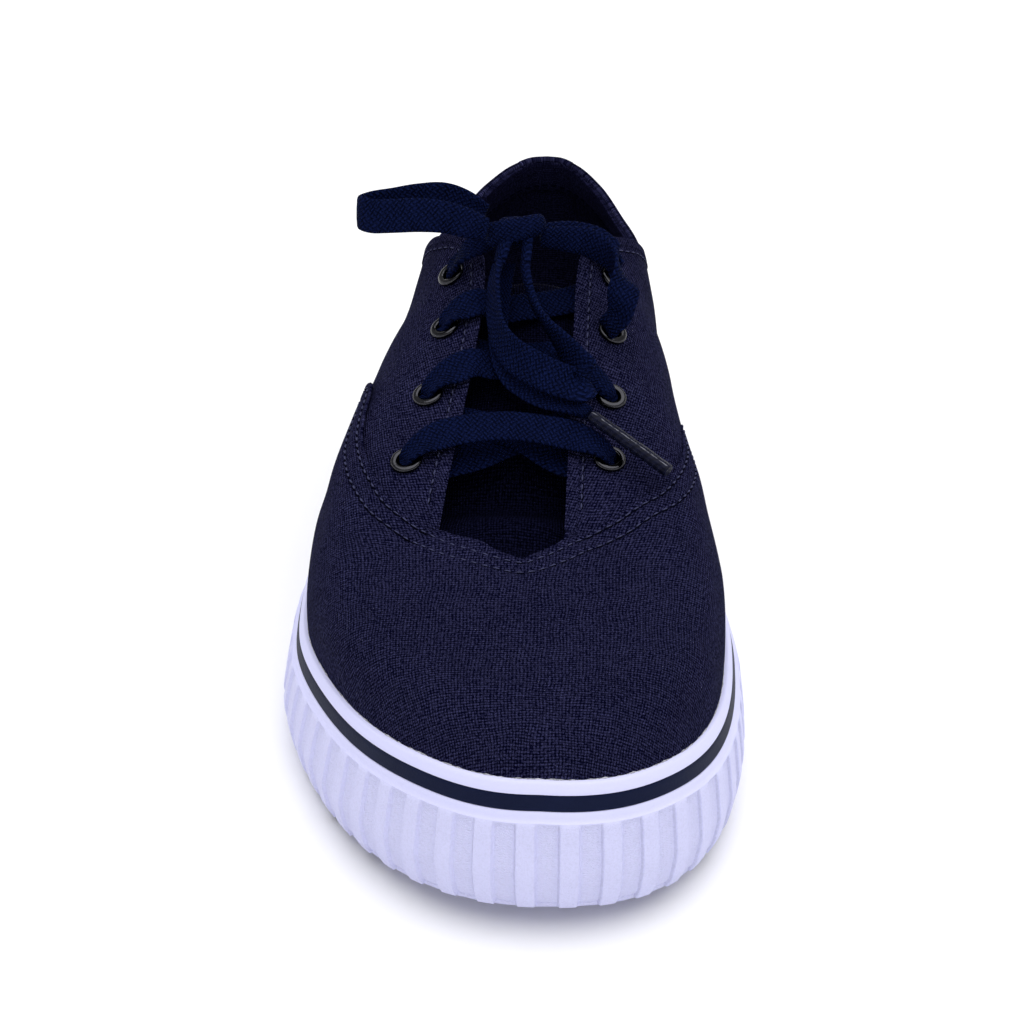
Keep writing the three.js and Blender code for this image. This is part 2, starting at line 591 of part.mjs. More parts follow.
// From under one side's row 4 to under the other side's row 3.
function lowerCross(side) {
  const m = mirrored(side);
  const other = side === 'lateral' ? 'medial' : 'lateral';
  return band([
    underEyelet(side, 4),
    tight(-13 * m, -38.5, 58.8),
    tight(0, -32.5, 61.9),
    tight(13 * m, -27.5, 64),
    underEyelet(other, 3),
  ]);
}

// From above one side's row 3, over the throat's edge, to under the other's row 2.
function middleCross(side) {
  const m = mirrored(side);
  const other = side === 'lateral' ? 'medial' : 'lateral';
  return band([
    overEyelet(side, 3),
    tight(-16.4 * m, -20.6, 74.3),
    tight(-11.6 * m, -18, 75.6),
    tight(-6.6 * m, -15.4, 73.8),
    tight(0, -12.2, 72.9),
    tight(8 * m, -8.6, 73.2),
    underEyelet(other, 2),
  ]);
}

// From above the lateral row 2, over the throat's edge, to under the medial row 1.
const upperCross = () => band([
  overEyelet('lateral', 2),
  tight(-15.4, -1.6, 83.3),
  tight(-11.2, -0.6, 84.7),
  tight(-6, 1.8, 81.6),
  tight(0, 4.4, 81.4),
  tight(7, 7.4, 81.2),
  tight(13, 10, 81.6),
  underEyelet('medial', 1),
]);

// Slack length: from the medial row 2 it stands up in an arc and goes to the knot.
const slackArc = () => band([
  rising('medial', 2, [-0.7, 0.5, 0.3]),
  { x: 24.4, y: -6.4, z: 84, wide: [-0.75, 0.5, 0.35], width: 7 },
  { x: 25.2, y: -6, z: 88.4, wide: [-0.8, 0.4, 0.4], width: 7.5 },
  { x: 25.2, y: -3, z: 91.8, wide: [-0.6, 0.2, 0.75], width: 7.5 },
  { x: 23.4, y: 2, z: 94.4, wide: [-0.3, 0.1, 0.95], width: 7.5 },
  { x: 20, y: 6.4, z: 96.2, wide: [-0.1, 0.2, 0.95], width: 7 },
  { x: 16, y: 9.4, z: 97.4, wide: [0, 0.3, 0.95], width: 6.5 },
  { x: 10.4, y: 11, z: 97.6, wide: [0, 0.3, 0.95], width: 6 },
  { x: 4.8, y: 11.6, z: 97.6, wide: [0, 0.3, 0.95], width: 5 },
]);

const topMedial = () => band([
  rising('medial', 1, [-0.4, 0.8, 0.4]),
  { x: 23.6, y: 15.6, z: 90.4, wide: [-0.3, 0.8, 0.5], width: 7 },
  { x: 20, y: 17, z: 94, wide: [-0.3, 0.6, 0.7], width: 7 },
  { x: 14.6, y: 17.6, z: 96, wide: [0, 0.4, 0.9], width: 6 },
  { x: 9.4, y: 17, z: 97, wide: [0, 0.3, 0.95], width: 5 },
  { x: 4.8, y: 16, z: 97.4, wide: [0, 0.3, 0.95], width: 4 },
]);

const topLateral = () => band([
  rising('lateral', 1, [0.4, 0.8, 0.4]),
  { x: -17, y: 12.6, z: 91, wide: [0.3, 0.8, 0.5], width: 7 },
  { x: -14, y: 12.4, z: 94, wide: [0.3, 0.6, 0.7], width: 6 },
  { x: -9.8, y: 12.4, z: 96, wide: [0.1, 0.4, 0.9], width: 4 },
]);

function knot() {
  const ball = new THREE.SphereGeometry(1, 12, 8).rotateX(Math.PI / 2);
  return ball.scale(KNOT.halfX, KNOT.halfY, KNOT.halfZ).translate(KNOT.x, KNOT.y, KNOT.z);
}

// Aglet beyond the lace's end, towards its tip.
function aglet() {
  const last = LACE_END[LACE_END.length - 1];
  const start = new THREE.Vector3(last.x, last.y, last.z);
  const along = new THREE.Vector3(AGLET.tip.x, AGLET.tip.y, AGLET.tip.z).sub(start).normalize();
  const middle = start.addScaledVector(along, AGLET.gap + AGLET.length / 2);
  const tube = new THREE.CylinderGeometry(AGLET.radius, AGLET.radius, AGLET.length, AGLET.sides);
  const turn = new THREE.Quaternion().setFromUnitVectors(new THREE.Vector3(0, 1, 0), along);
  return tube.applyQuaternion(turn).translate(middle.x, middle.y, middle.z);
}

// ---- object ---------------------------------------------------------------------
const FINISH = {
  canvas: new THREE.MeshStandardMaterial({ color: 0x1d1e34, roughness: 0.9, metalness: 0 }),
  rubber: new THREE.MeshStandardMaterial({ color: 0xe3e3ee, roughness: 0.55, metalness: 0 }),
  metal: new THREE.MeshStandardMaterial({ color: 0x2a2a30, roughness: 0.3, metalness: 1 }),
  lace: new THREE.MeshStandardMaterial({ color: 0x141c40, roughness: 0.9, metalness: 0 }),
  plastic: new THREE.MeshStandardMaterial({ color: 0x10101c, roughness: 0.15, metalness: 0 }),
  lining: new THREE.MeshStandardMaterial({ color: 0x14142a, roughness: 0.95, metalness: 0 }),
};

const shoe = new THREE.Group();
function add(name, geometry, material) {
  const mesh = new THREE.Mesh(geometry, material);
  mesh.name = name;
  shoe.add(mesh);
  return mesh;
}

add('outsole', outsole(), FINISH.rubber);
add('sidewall', sidewall(), FINISH.rubber);
add('insole', insole(), FINISH.lining);
add('upper', upperShell(), FINISH.canvas);
add('tongue', tongue(), FINISH.canvas);
eyelets.forEach(({ side, row, at, normal }) => {
  const ring = add(`eyelet_${side}_${row}`, eyeletRing(), FINISH.metal);
  ring.position.copy(at);
  ring.quaternion.copy(facing(normal));
});

add('lace_bar', laceBar(), FINISH.lace);
add('lace_cross_lower', join(lowerCross('lateral'), lowerCross('medial')), FINISH.lace);
add('lace_cross_middle', join(middleCross('lateral'), middleCross('medial')), FINISH.lace);
add('lace_cross_upper', upperCross(), FINISH.lace);
add('lace_slack', slackArc(), FINISH.lace);
add('lace_top_lateral', topLateral(), FINISH.lace);
add('lace_top_medial', topMedial(), FINISH.lace);
add('lace_knot', knot(), FINISH.lace);
add('lace_loop_lateral', band(LOOP_LATERAL), FINISH.lace);
add('lace_loop_front', band(LOOP_FRONT), FINISH.lace);
add('lace_end', band(LACE_END), FINISH.lace);
add('aglet', aglet(), FINISH.plastic);

export default shoe;
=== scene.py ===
import math
import random
from functools import lru_cache

import bpy
import numpy as np
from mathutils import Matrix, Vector


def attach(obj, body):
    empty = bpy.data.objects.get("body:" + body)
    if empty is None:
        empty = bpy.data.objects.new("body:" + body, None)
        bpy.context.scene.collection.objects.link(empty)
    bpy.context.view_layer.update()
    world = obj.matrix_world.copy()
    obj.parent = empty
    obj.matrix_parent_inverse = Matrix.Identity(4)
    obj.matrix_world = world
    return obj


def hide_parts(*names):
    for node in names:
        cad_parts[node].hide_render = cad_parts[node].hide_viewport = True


bl_info = {
    "name": "Laced canvas sneaker",
    "version": (1, 0, 0),
    "blender": (4, 5, 0),
    "location": "View3D > Sidebar > Sneaker",
    "description": "Visible pieces of a laced canvas sneaker, built around its packed frame",
    "category": "Object",
}

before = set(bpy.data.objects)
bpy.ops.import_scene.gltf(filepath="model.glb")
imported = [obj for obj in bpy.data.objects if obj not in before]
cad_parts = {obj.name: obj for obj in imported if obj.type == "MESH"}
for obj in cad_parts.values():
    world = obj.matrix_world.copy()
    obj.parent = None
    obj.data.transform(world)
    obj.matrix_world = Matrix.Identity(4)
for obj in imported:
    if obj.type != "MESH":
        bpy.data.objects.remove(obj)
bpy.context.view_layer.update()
ROOT = "root"
MM = 0.001                       # tables and placing functions below are in millimetres

# ---- sizes of the last --------------------------------------------------------------
LENGTH = 290.0                   # sole, toe to heel
BALL_WIDTH = 111.0
TOE_TIP_X = 9.4                  # the toe leans to the inner side
TOE_ROUND = 90.0
HEEL_ROUND = 42.0
ROUND_POWER = 2.3
WALL = 2.0                       # outer cloth, interlining and lining together
GAP = 0.3
FEATHER_INSET = 3.5              # upper's lower edge, inside the sole's outline
SOLE_LIFT = 0.4


def each(values, digits, found_for):
    """found_for(value) for each of the values, worked out once for those that are alike."""
    found, which = np.unique(np.round(values, digits), return_inverse=True)
    return np.array([found_for(one) for one in found])[which]


def walked(points):
    """Distance walked from the first of the points to each."""
    return np.concatenate(([0], np.cumsum(np.linalg.norm(np.diff(points, axis=0), axis=1))))


class Table:
    """Rows of numbers under named columns, read along a curve that never overshoots."""

    def __init__(self, names, *rows):
        names = names.split()
        self.columns = dict(zip(names, map(list, zip(*rows))))
        self.key = self.columns[names[0]]
        self.tangents = {name: self.slopes(values) for name, values in self.columns.items()}

    def slopes(self, values):
        steps = [(b - a) / (q - p) for a, b, p, q in zip(values, values[1:], self.key, self.key[1:])]
        middle = [0.0 if a * b <= 0 else 2 * a * b / (a + b) for a, b in zip(steps, steps[1:])]
        return [steps[0], *middle, steps[-1]]

    def at(self, name, x):
        key, values, tangents = self.key, self.columns[name], self.tangents[name]
        x = min(max(x, key[0]), key[-1])
        i = 0
        while i < len(key) - 2 and x > key[i + 1]:
            i += 1
        step = key[i + 1] - key[i]
        t = (x - key[i]) / step
        return (values[i] * (1 + 2 * t) * (1 - t) ** 2 + tangents[i] * step * t * (1 - t) ** 2
                + values[i + 1] * t * t * (3 - 2 * t) + tangents[i + 1] * step * t * t * (t - 1))

    def many(self, name, xs):
        return each(xs, 4, lambda x: self.at(name, x))


# Half widths as shares of the ball width, at shares of the length from the toe.
WIDTHS = Table(
    "at lateral medial",
    (0.00, 0.435, 0.500), (0.15, 0.465, 0.509), (0.26, 0.497, 0.509), (0.36, 0.510, 0.488),
    (0.44, 0.485, 0.447), (0.52, 0.437, 0.403), (0.64, 0.370, 0.353), (0.78, 0.330, 0.340),
    (0.90, 0.319, 0.345), (1.00, 0.315, 0.345))
# Sole's lower face, and the bed that carries the insole.
SOLE_LINE = Table(
    "at under bed",
    (0.00, 7.0, 19.0), (0.06, 4.2, 16.0), (0.14, 1.5, 13.0), (0.24, 0.0, 11.6),
    (0.42, 0.0, 11.6), (0.58, 2.0, 13.0), (0.73, 0.0, 14.0), (0.95, 0.0, 14.4),
    (1.00, 0.8, 14.6))
# Height of the sidewall's top edge: turn 0 is the toe tip, 180 the heel.
SIDEWALL_TOP = Table(
    "turn z",
    (0, 38.2), (20, 36.6), (40, 32.6), (62, 28.8), (95, 26.4), (150, 26.6), (180, 28.6))
# How far inside the outline the upper's face meets that edge, on either side.
BAND_INSET = 5.4
TOP_INSET = Table(
    "turn lateral medial",
    (0, 6.4, 6.4), (20, 7.5, 6.6), (40, 8.0, 6.7), (62, 7.7, 6.8), (80, 7.0, 6.6), (100, 6.0, 5.8),
    (130, BAND_INSET, BAND_INSET), (180, BAND_INSET, BAND_INSET))
RIBS_LEAN = 0.55                 # share of the ribs' height that leans in to the band
# Upper's top edge, from the toe's end of the throat to the heel.
TOP_EDGE = Table(
    "turn y z lateral medial",
    (0, -72.5, 50.2, -3.2, 3.2), (22, -68.5, 51.0, 6.8, 8.2), (42, -62.0, 52.4, 16.9, 12.7),
    (55, -48.0, 59.0, 15.7, 12.9), (68, -30.0, 67.8, 13.5, 13.1), (80, -12.0, 76.8, 11.5, 13.2),
    (92, 6.0, 85.6, 10.3, 13.4), (97, 15.0, 90.6, 10.9, 14.1), (101, 22.0, 93.6, 16.8, 20.2),
    (105, 30.0, 90.4, 23.8, 27.2), (110, 42.0, 83.0, 27.9, 30.7), (117, 61.0, 74.2, 29.9, 31.5),
    (126, 81.0, 68.4, 29.3, 30.5), (138, 104.0, 68.2, 25.1, 26.3),
    (152, 126.0, 71.6, 16.9, 18.7), (165, 135.2, 75.0, 8.9, 11.3), (175, 138.0, 76.6, 2.3, 5.3),
    (180, 138.2, 76.8, -1.7, 1.7))
# Upper's section: how far its wall leans outwards on each side (degrees), its straight
# rise, and the fall (degrees) and length of its crown at the top edge.
SECTIONS = Table(
    "turn lateral medial rise fall crown",
    (0, -28, -28, 15, 4, 44), (22, -20, -20, 17, 8, 36), (42, -1, -1, 19, 12, 26),
    (55, 2, 5, 21, 13, 25), (68, 2, 7, 25, 13, 24), (80, 3, 8, 28, 12, 24),
    (92, 5, 11, 30, 12, 24), (97, 6, 13, 30, 18, 22), (101, 8, 13, 28, 38, 17),
    (105, 8, 12, 26, 60, 15), (110, 8, 11, 22, 72, 14), (117, 8, 9, 18, 78, 13),
    (126, 8, 8, 15, 80, 13), (138, 9, 9, 14, 82, 13), (152, 11, 11, 15, 84, 14),
    (165, 13, 13, 16, 84, 15), (175, 14, 14, 16, 84, 15), (180, 14, 14, 16, 84, 15))


def end_round(distance, depth):
    r = min(max(1 - distance / depth, 0.0), 1.0)
    return (1 - r ** ROUND_POWER) ** (1 / ROUND_POWER)


@lru_cache(maxsize=None)
def outline_point(turn):
    """Sole's outline: turn 0 to 180 runs down the outer side, 180 to 360 back."""
    from_toe = LENGTH * (1 - math.cos(math.radians(turn))) / 2
    lateral = math.sin(math.radians(turn)) >= 0
    ends = end_round(from_toe, TOE_ROUND) * end_round(LENGTH - from_toe, HEEL_ROUND)
    half = BALL_WIDTH * WIDTHS.at("lateral" if lateral else "medial", from_toe / LENGTH) * ends
    lean = TOE_TIP_X * max(0.0, 1 - from_toe / (0.28 * LENGTH)) ** 1.6
    return np.array((lean + (-half if lateral else half), from_toe - LENGTH / 2))


@lru_cache(maxsize=None)
def outline_normal(turn):
    along = outline_point(turn + 1) - outline_point(turn - 1)
    along /= np.linalg.norm(along)
    return np.array((-along[1], along[0]))


def rim(turn, out, z):
    return np.array((*(outline_point(turn) + out * outline_normal(turn)), z))


def rims(turn, out, z):
    """The same for arrays."""
    at, normal = each(turn % 360, 4, outline_point), each(turn % 360, 4, outline_normal)
    return np.column_stack((at + out[:, None] * normal, z))


def on_outline(turn):
    return rims(turn, np.zeros(len(turn)), np.zeros(len(turn)))


def folded(turn):
    """Turn counted from the toe tip down either side."""
    return np.minimum(turn % 360, 360 - turn % 360)


def signed(turn):
    """Turn whose inner side counts back from nought."""
    return (turn + 180) % 360 - 180


def bed(y):
    return SOLE_LINE.at("bed", y / LENGTH + 0.5)


def sole_heights(name, y):
    """Heights of the sole's lower face ("under") or of its bed, at places along the shoe."""
    return SOLE_LINE.many(name, y / LENGTH + 0.5)


@lru_cache(maxsize=None)
def section(turn):
    """Four handles of the upper's section above the sidewall, and its feather edge."""
    fold = float(folded(turn))
    side = "lateral" if turn <= 180 else "medial"
    outwards = np.array((*outline_normal(turn), 0.0))
    up = np.array((0.0, 0.0, 1.0))
    start = rim(turn, -TOP_INSET.at(side, fold), SIDEWALL_TOP.at("z", fold))
    reach = TOP_EDGE.at(side, fold)
    edge = np.array((-reach if side == "lateral" else reach,
                     TOP_EDGE.at("y", fold), TOP_EDGE.at("z", fold)))
    lean = math.radians(SECTIONS.at(side, fold))
    lower = start + SECTIONS.at("rise", fold) * (math.sin(lean) * outwards + math.cos(lean) * up)
    fall = math.radians(SECTIONS.at("fall", fold))
    upper = edge + SECTIONS.at("crown", fold) * (math.cos(fall) * outwards - math.sin(fall) * up)
    feather = rim(turn, -FEATHER_INSET, bed(outline_point(turn)[1]) + GAP)
    return np.array((start, lower, upper, edge, feather))


def face_at(turn, up):
    """Upper's outer face. up 0 is at the sidewall's top, 1 at the top edge, -1 at the bed."""
    handles = each(turn % 360, 3, section)
    t = np.clip(up, 0, 1)
    weights = np.stack(((1 - t) ** 3, 3 * t * (1 - t) ** 2, 3 * t * t * (1 - t), t ** 3), axis=-1)
    below = np.clip(-up, 0, 1)[:, None]
    return np.einsum("nk,nkd->nd", weights, handles[:, :4]) + below * (handles[:, 4] - handles[:, 0])


def unit(vectors):
    return vectors / np.linalg.norm(vectors, axis=-1, keepdims=True)


def directions(turn, up):
    """Square to the face, and up along it."""
    rise = face_at(turn, np.minimum(up + 0.02, 1)) - face_at(turn, np.maximum(up - 0.02, -1))
    across = face_at(turn + 1, up) - face_at(turn - 1, up)
    return unit(np.cross(rise, across)), unit(rise)


def settle(points, turn, up):
    """Turn and up of the places on the face nearest to points, from a first guess."""
    for _ in range(5):
        here = points - face_at(turn, up)
        by_turn = face_at(turn + 0.5, up) - face_at(turn - 0.5, up)
        by_up = (face_at(turn, up + 0.01) - face_at(turn, up - 0.01)) / 0.02
        a, b, c = (np.sum(p * q, axis=1) for p, q in ((by_turn, by_turn), (by_turn, by_up), (by_up, by_up)))
        d, e = np.sum(by_turn * here, axis=1), np.sum(by_up * here, axis=1)
        apart = np.maximum(a * c - b * b, 1e-9)
        turn = turn + np.clip((c * d - b * e) / apart, -3, 3)
        up = np.clip(up + np.clip((a * e - b * d) / apart, -0.1, 0.1), -0.2, 0.99)
    return turn, up


# ---- eyelets' places -----------------------------------------------------------------
# Rows from the top down: place along the shoe, and distance back from the throat's edge.
EYELET_ROWS = ((1, 13.0, 9.3, 10.0), (2, -3.6, 9.3, 10.0), (3, -22.2, 10.2, 10.0), (4, -39.0, 12.5, 10.2))
RING = {"bore": 2.1, "clinch": 3.3, "flange": 3.9, "hole": 2.7}


def turn_at_edge(y):
    low, high = 42.0, 101.0
    while high - low > 0.01:
        middle = (low + high) / 2
        low, high = (middle, high) if TOP_EDGE.at("y", middle) < y else (low, middle)
    return low


def spot_on_facing(side, y, back):
    turn = turn_at_edge(y)
    turn = np.full(501, turn if side == "lateral" else 360 - turn)
    ups = np.linspace(1, 0, 501)
    points = face_at(turn, ups)
    up = np.array([np.interp(back, walked(points), ups)])
    return face_at(turn[:1], up)[0], directions(turn[:1], up)[0][0]


EYELETS = {(side, row): spot_on_facing(side, y, {"lateral": lateral, "medial": medial}[side])
           for row, y, lateral, medial in EYELET_ROWS for side in ("lateral", "medial")}

# ---- creases ---------------------------------------------------------------------------
# Width, height (a trough is below nought), then places (turn, up) along its line.
CREASES = (
    (5.0, -0.55, (10, 0.16), (24, 0.13), (38, 0.14)),
    (8.0, 0.45, (14, 0.34), (30, 0.30), (46, 0.26)),
    (6.0, -0.50, (344, 0.15), (332, 0.12), (322, 0.15)),
    (7.0, 0.40, (350, 0.36), (334, 0.32), (320, 0.28)),
    (6.0, -0.40, (40, 0.52), (22, 0.56), (4, 0.60)),
    (5.5, -0.35, (318, 0.50), (336, 0.60), (354, 0.66)),
    (4.5, -0.45, (44, 0.90), (50, 0.74), (60, 0.50)),
    (4.5, -0.40, (316, 0.90), (308, 0.70), (300, 0.48)),
    (5.0, -0.60, (66, 0.30), (78, 0.26), (92, 0.30)),
    (6.5, 0.50, (70, 0.46), (84, 0.42), (96, 0.46)),
    (5.0, -0.55, (294, 0.30), (280, 0.24), (268, 0.30)),
    (4.5, -0.60, (98, 0.30), (104, 0.52), (108, 0.72)),
    (4.5, -0.55, (262, 0.30), (256, 0.54), (252, 0.74)),
    (5.5, -0.70, (112, 0.30), (124, 0.44), (138, 0.40)),
    (5.5, -0.70, (248, 0.28), (236, 0.42), (222, 0.40)),
    (5.0, 0.55, (116, 0.62), (128, 0.66), (142, 0.58)),
    (5.0, 0.50, (244, 0.60), (232, 0.66), (218, 0.60)),
    (4.0, -0.50, (150, 0.50), (160, 0.34), (168, 0.22)),
    (4.0, -0.50, (210, 0.52), (200, 0.34), (192, 0.22)),
)
CALM_ROUND_EYELET = 7.0
SWELL = {"height": 0.16, "x": 17.0, "y": 23.0}


def distance_to_line(points, line):
    best = np.full(len(points), np.inf)
    for a, b in zip(line, line[1:]):
        span = b - a
        share = np.clip((points - a) @ span / (span @ span), 0, 1)
        best = np.minimum(best, np.linalg.norm(points - a - share[:, None] * span, axis=1))
    return best


@lru_cache(maxsize=None)
def crease_lines():
    lines = []
    for width, height, *spots in CREASES:
        turn, up = (np.array(values, float) for values in zip(*spots))
        shares = np.linspace(0, len(spots) - 1, 4 * len(spots))
        steps = np.arange(len(spots))
        lines.append((width, height, face_at(np.interp(shares, steps, turn), np.interp(shares, steps, up))))
    return lines


def relief(points, up, depth):
    """Height of the creases and the soft swell of the cloth, in millimetres."""
    total = SWELL["height"] * np.sin(points[:, 0] / SWELL["x"] + 1.3) * np.sin(points[:, 1] / SWELL["y"])
    for width, height, line in crease_lines():
        total += depth * height * np.exp(-(distance_to_line(points, line) / width) ** 2)
    for centre, _ in EYELETS.values():
        total *= 1 - np.exp(-(np.linalg.norm(points - centre, axis=1) / CALM_ROUND_EYELET) ** 2)
    return total * np.clip(up / 0.08, 0, 1)


def ease(x):
    x = np.clip(x, 0, 1)
    return x * x * (3 - 2 * x)


CLOTH_MAP = {"slope": 0.85, "from_height": 50.0, "wall_from": 110.0, "change_over": 20.0, "seam": 192.5}


@lru_cache(maxsize=None)
def walk_round():
    """Turns round the outline, and the distance walked to each."""
    turns = np.linspace(0, 360, 1441)
    return turns, walked(on_outline(turns))


def cloth_map(points, turn):
    """Flat place of the cloth's threads, in millimetres: as seen from above over the toe, and
    walked round the wall from the sides back to the seam at the heel patch's edge."""
    turn = turn % 360
    edge, normal = each(turn, 4, outline_point), each(turn, 4, outline_normal)
    rise = CLOTH_MAP["slope"] * (CLOTH_MAP["from_height"] - points[:, 2])
    flat = points[:, :2] + rise[:, None] * normal
    down = np.sum((points[:, :2] - edge) * normal, axis=1) + rise
    medial = turn > CLOTH_MAP["seam"]
    side = np.where(medial, 1.0, -1.0)
    start = np.where(medial, 360 - CLOTH_MAP["wall_from"], CLOTH_MAP["wall_from"])
    turns, gone = walk_round()
    first = on_outline(start)
    along = first[:, 1] + np.abs(np.interp(turn, turns, gone) - np.interp(start, turns, gone))
    wall = np.column_stack((side * (np.abs(first[:, 0]) + down), along))
    share = ease((folded(turn) - CLOTH_MAP["wall_from"]) / CLOTH_MAP["change_over"] + 0.5)[:, None]
    return (1 - share) * flat + share * wall


# ---- meshes -----------------------------------------------------------------------------
def shaped_grid(name, columns, rows, place):
    """Grid of faces whose points are put by place(column, row), closed where they meet."""
    bpy.ops.object.select_all(action="DESELECT")
    bpy.ops.mesh.primitive_grid_add(x_subdivisions=columns, y_subdivisions=rows, size=2)
    piece = bpy.context.object
    piece.name = piece.data.name = name
    mesh = piece.data
    flat = np.empty(len(mesh.vertices) * 3, np.float32)
    mesh.vertices.foreach_get("co", flat)
    flat = flat.reshape(-1, 3)
    column = np.rint((flat[:, 0] + 1) / 2 * columns).astype(int)
    row = np.rint((flat[:, 1] + 1) / 2 * rows).astype(int)
    points, cloth = place(column, row)
    mesh.vertices.foreach_set("co", (points * MM).astype(np.float32).ravel())
    corners = np.empty(len(mesh.loops), np.int32)
    mesh.loops.foreach_get("vertex_index", corners)
    mesh.uv_layers[0].data.foreach_set("uv", cloth[corners].astype(np.float32).ravel())
    mesh.update()
    close_up(piece)
    return piece


def only(piece):
    bpy.ops.object.select_all(action="DESELECT")
    piece.select_set(True)
    bpy.context.view_layer.objects.active = piece


def close_up(piece):
    only(piece)
    bpy.ops.object.mode_set(mode="EDIT")
    bpy.ops.mesh.select_all(action="SELECT")
    bpy.ops.mesh.remove_doubles(threshold=2e-6)
    bpy.ops.mesh.normals_make_consistent(inside=False)
    bpy.ops.object.mode_set(mode="OBJECT")


def applied(piece, kind, **settings):
    only(piece)
    modifier = piece.modifiers.new(kind.title(), kind)
    for name, value in settings.items():
        setattr(modifier, name, value)
    bpy.ops.object.modifier_apply(modifier=modifier.name)


def joined(name, pieces):
    only(pieces[0])
    for piece in pieces:
        piece.select_set(True)
    bpy.ops.object.join()
    pieces[0].name = pieces[0].data.name = name
    return pieces[0]


def finished(piece, slot, material, *nodes, angle=50):
    """Smooth shading, its material, and its place in the frame."""
    only(piece)
    bpy.ops.object.shade_smooth_by_angle(angle=math.radians(angle))
    piece.data.materials.clear()
    piece.data.materials.append(material)
    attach(piece, ROOT)
    if nodes:
        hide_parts(*nodes)
    return piece


def last_sheet(name, turns, shares, path, thickness, ring, creases, channels=()):
    """Cloth on the last. path(turn, share) gives up, depth, beyond and lean of its middle.
    Its stitching draws it in along the channels."""
    half = thickness / 2
    shares = list(shares)
    rounds = [(1.0, half * (math.sin(a) - 1), half * math.cos(a)) for a in np.radians((0, 30, 60, 90))]
    steps = [(share, 0.0, half) for share in shares[:-1]] + rounds
    loop = [(*step, 1) for step in steps] + [(*step, -1) for step in reversed(steps)]
    share_of, beyond_of, half_of, side_of = (np.array(values, float) for values in zip(*loop, loop[0]))
    turns = np.array(turns, float)

    def place(column, row):
        turn = turns[column]
        up, depth, beyond, lean = path(turn, share_of[row])
        normal, rise = directions(turn, up)
        points = face_at(turn, up)
        bulge = relief(points, up, creases)
        for line in channels:
            bulge -= CHANNEL["depth"] * np.exp(-(distance_to_line(points, line) / CHANNEL["half"]) ** 2)
        thick = half_of[row] * side_of[row]
        if not ring:
            thick = np.where((column == 0) | (column == len(turns) - 1), 0.0, thick)
        out = depth + bulge + thick * np.cos(lean)
        along = beyond + beyond_of[row] + thick * np.sin(lean)
        return points + out[:, None] * normal + along[:, None] * rise, cloth_map(points, turn)

    return shaped_grid(name, len(turns) - 1, len(loop), place)


def spaced(*stops):
    """Values from (from, to, count) stretches, and the last one's end."""
    values = [first + (last - first) * i / count for first, last, count in stops for i in range(count)]
    return values + [stops[-1][1]]


HALF_RING = ((0, 36, 48), (36, 48, 24), (48, 93, 60), (93, 111, 40), (111, 180, 80))
RING_TURNS = spaced(*HALF_RING, *((360 - b, 360 - a, n) for a, b, n in reversed(HALF_RING)))


def steady(turn, up, depth, beyond=0.0):
    """A path's row that doesn't lean, and whose depth and reach beyond are the same all along."""
    return up, np.full(len(turn), depth), np.full(len(turn), beyond), np.zeros(len(turn))


# ---- shader maths -------------------------------------------------------------------------
class Number:
    """A socket's value in sums, each of which is a Math node."""

    def __init__(self, recipe, socket):
        self.recipe, self.socket = recipe, socket

    def __add__(self, other):
        return self.recipe.math("ADD", self, other)

    def __sub__(self, other):
        return self.recipe.math("SUBTRACT", self, other)

    def __rsub__(self, other):
        return self.recipe.math("SUBTRACT", other, self)

    def __mul__(self, other):
        return self.recipe.math("MULTIPLY", self, other)

    def __abs__(self):
        return self.recipe.math("ABSOLUTE", self)

    __radd__ = __add__
    __rmul__ = __mul__

    def called(self, operation, *others):
        return self.recipe.math(operation, self, *others)

    def limited(self):
        """Kept from 0 to 1."""
        return self.called("MAXIMUM", 0.0).called("MINIMUM", 1.0)

    def sine(self, rate=math.pi):
        return (self * rate).called("SINE")

    def ripple(self):
        """Sine raised to lie from 0 to 1."""
        return self.called("SINE") * 0.5 + 0.5

    def smooth(self, low, high):
        """0 below low, 1 above high."""
        return self.recipe.node("ShaderNodeMapRange", {"interpolation_type": "SMOOTHSTEP"},
                                {"Value": self, "From Min": low, "From Max": high})


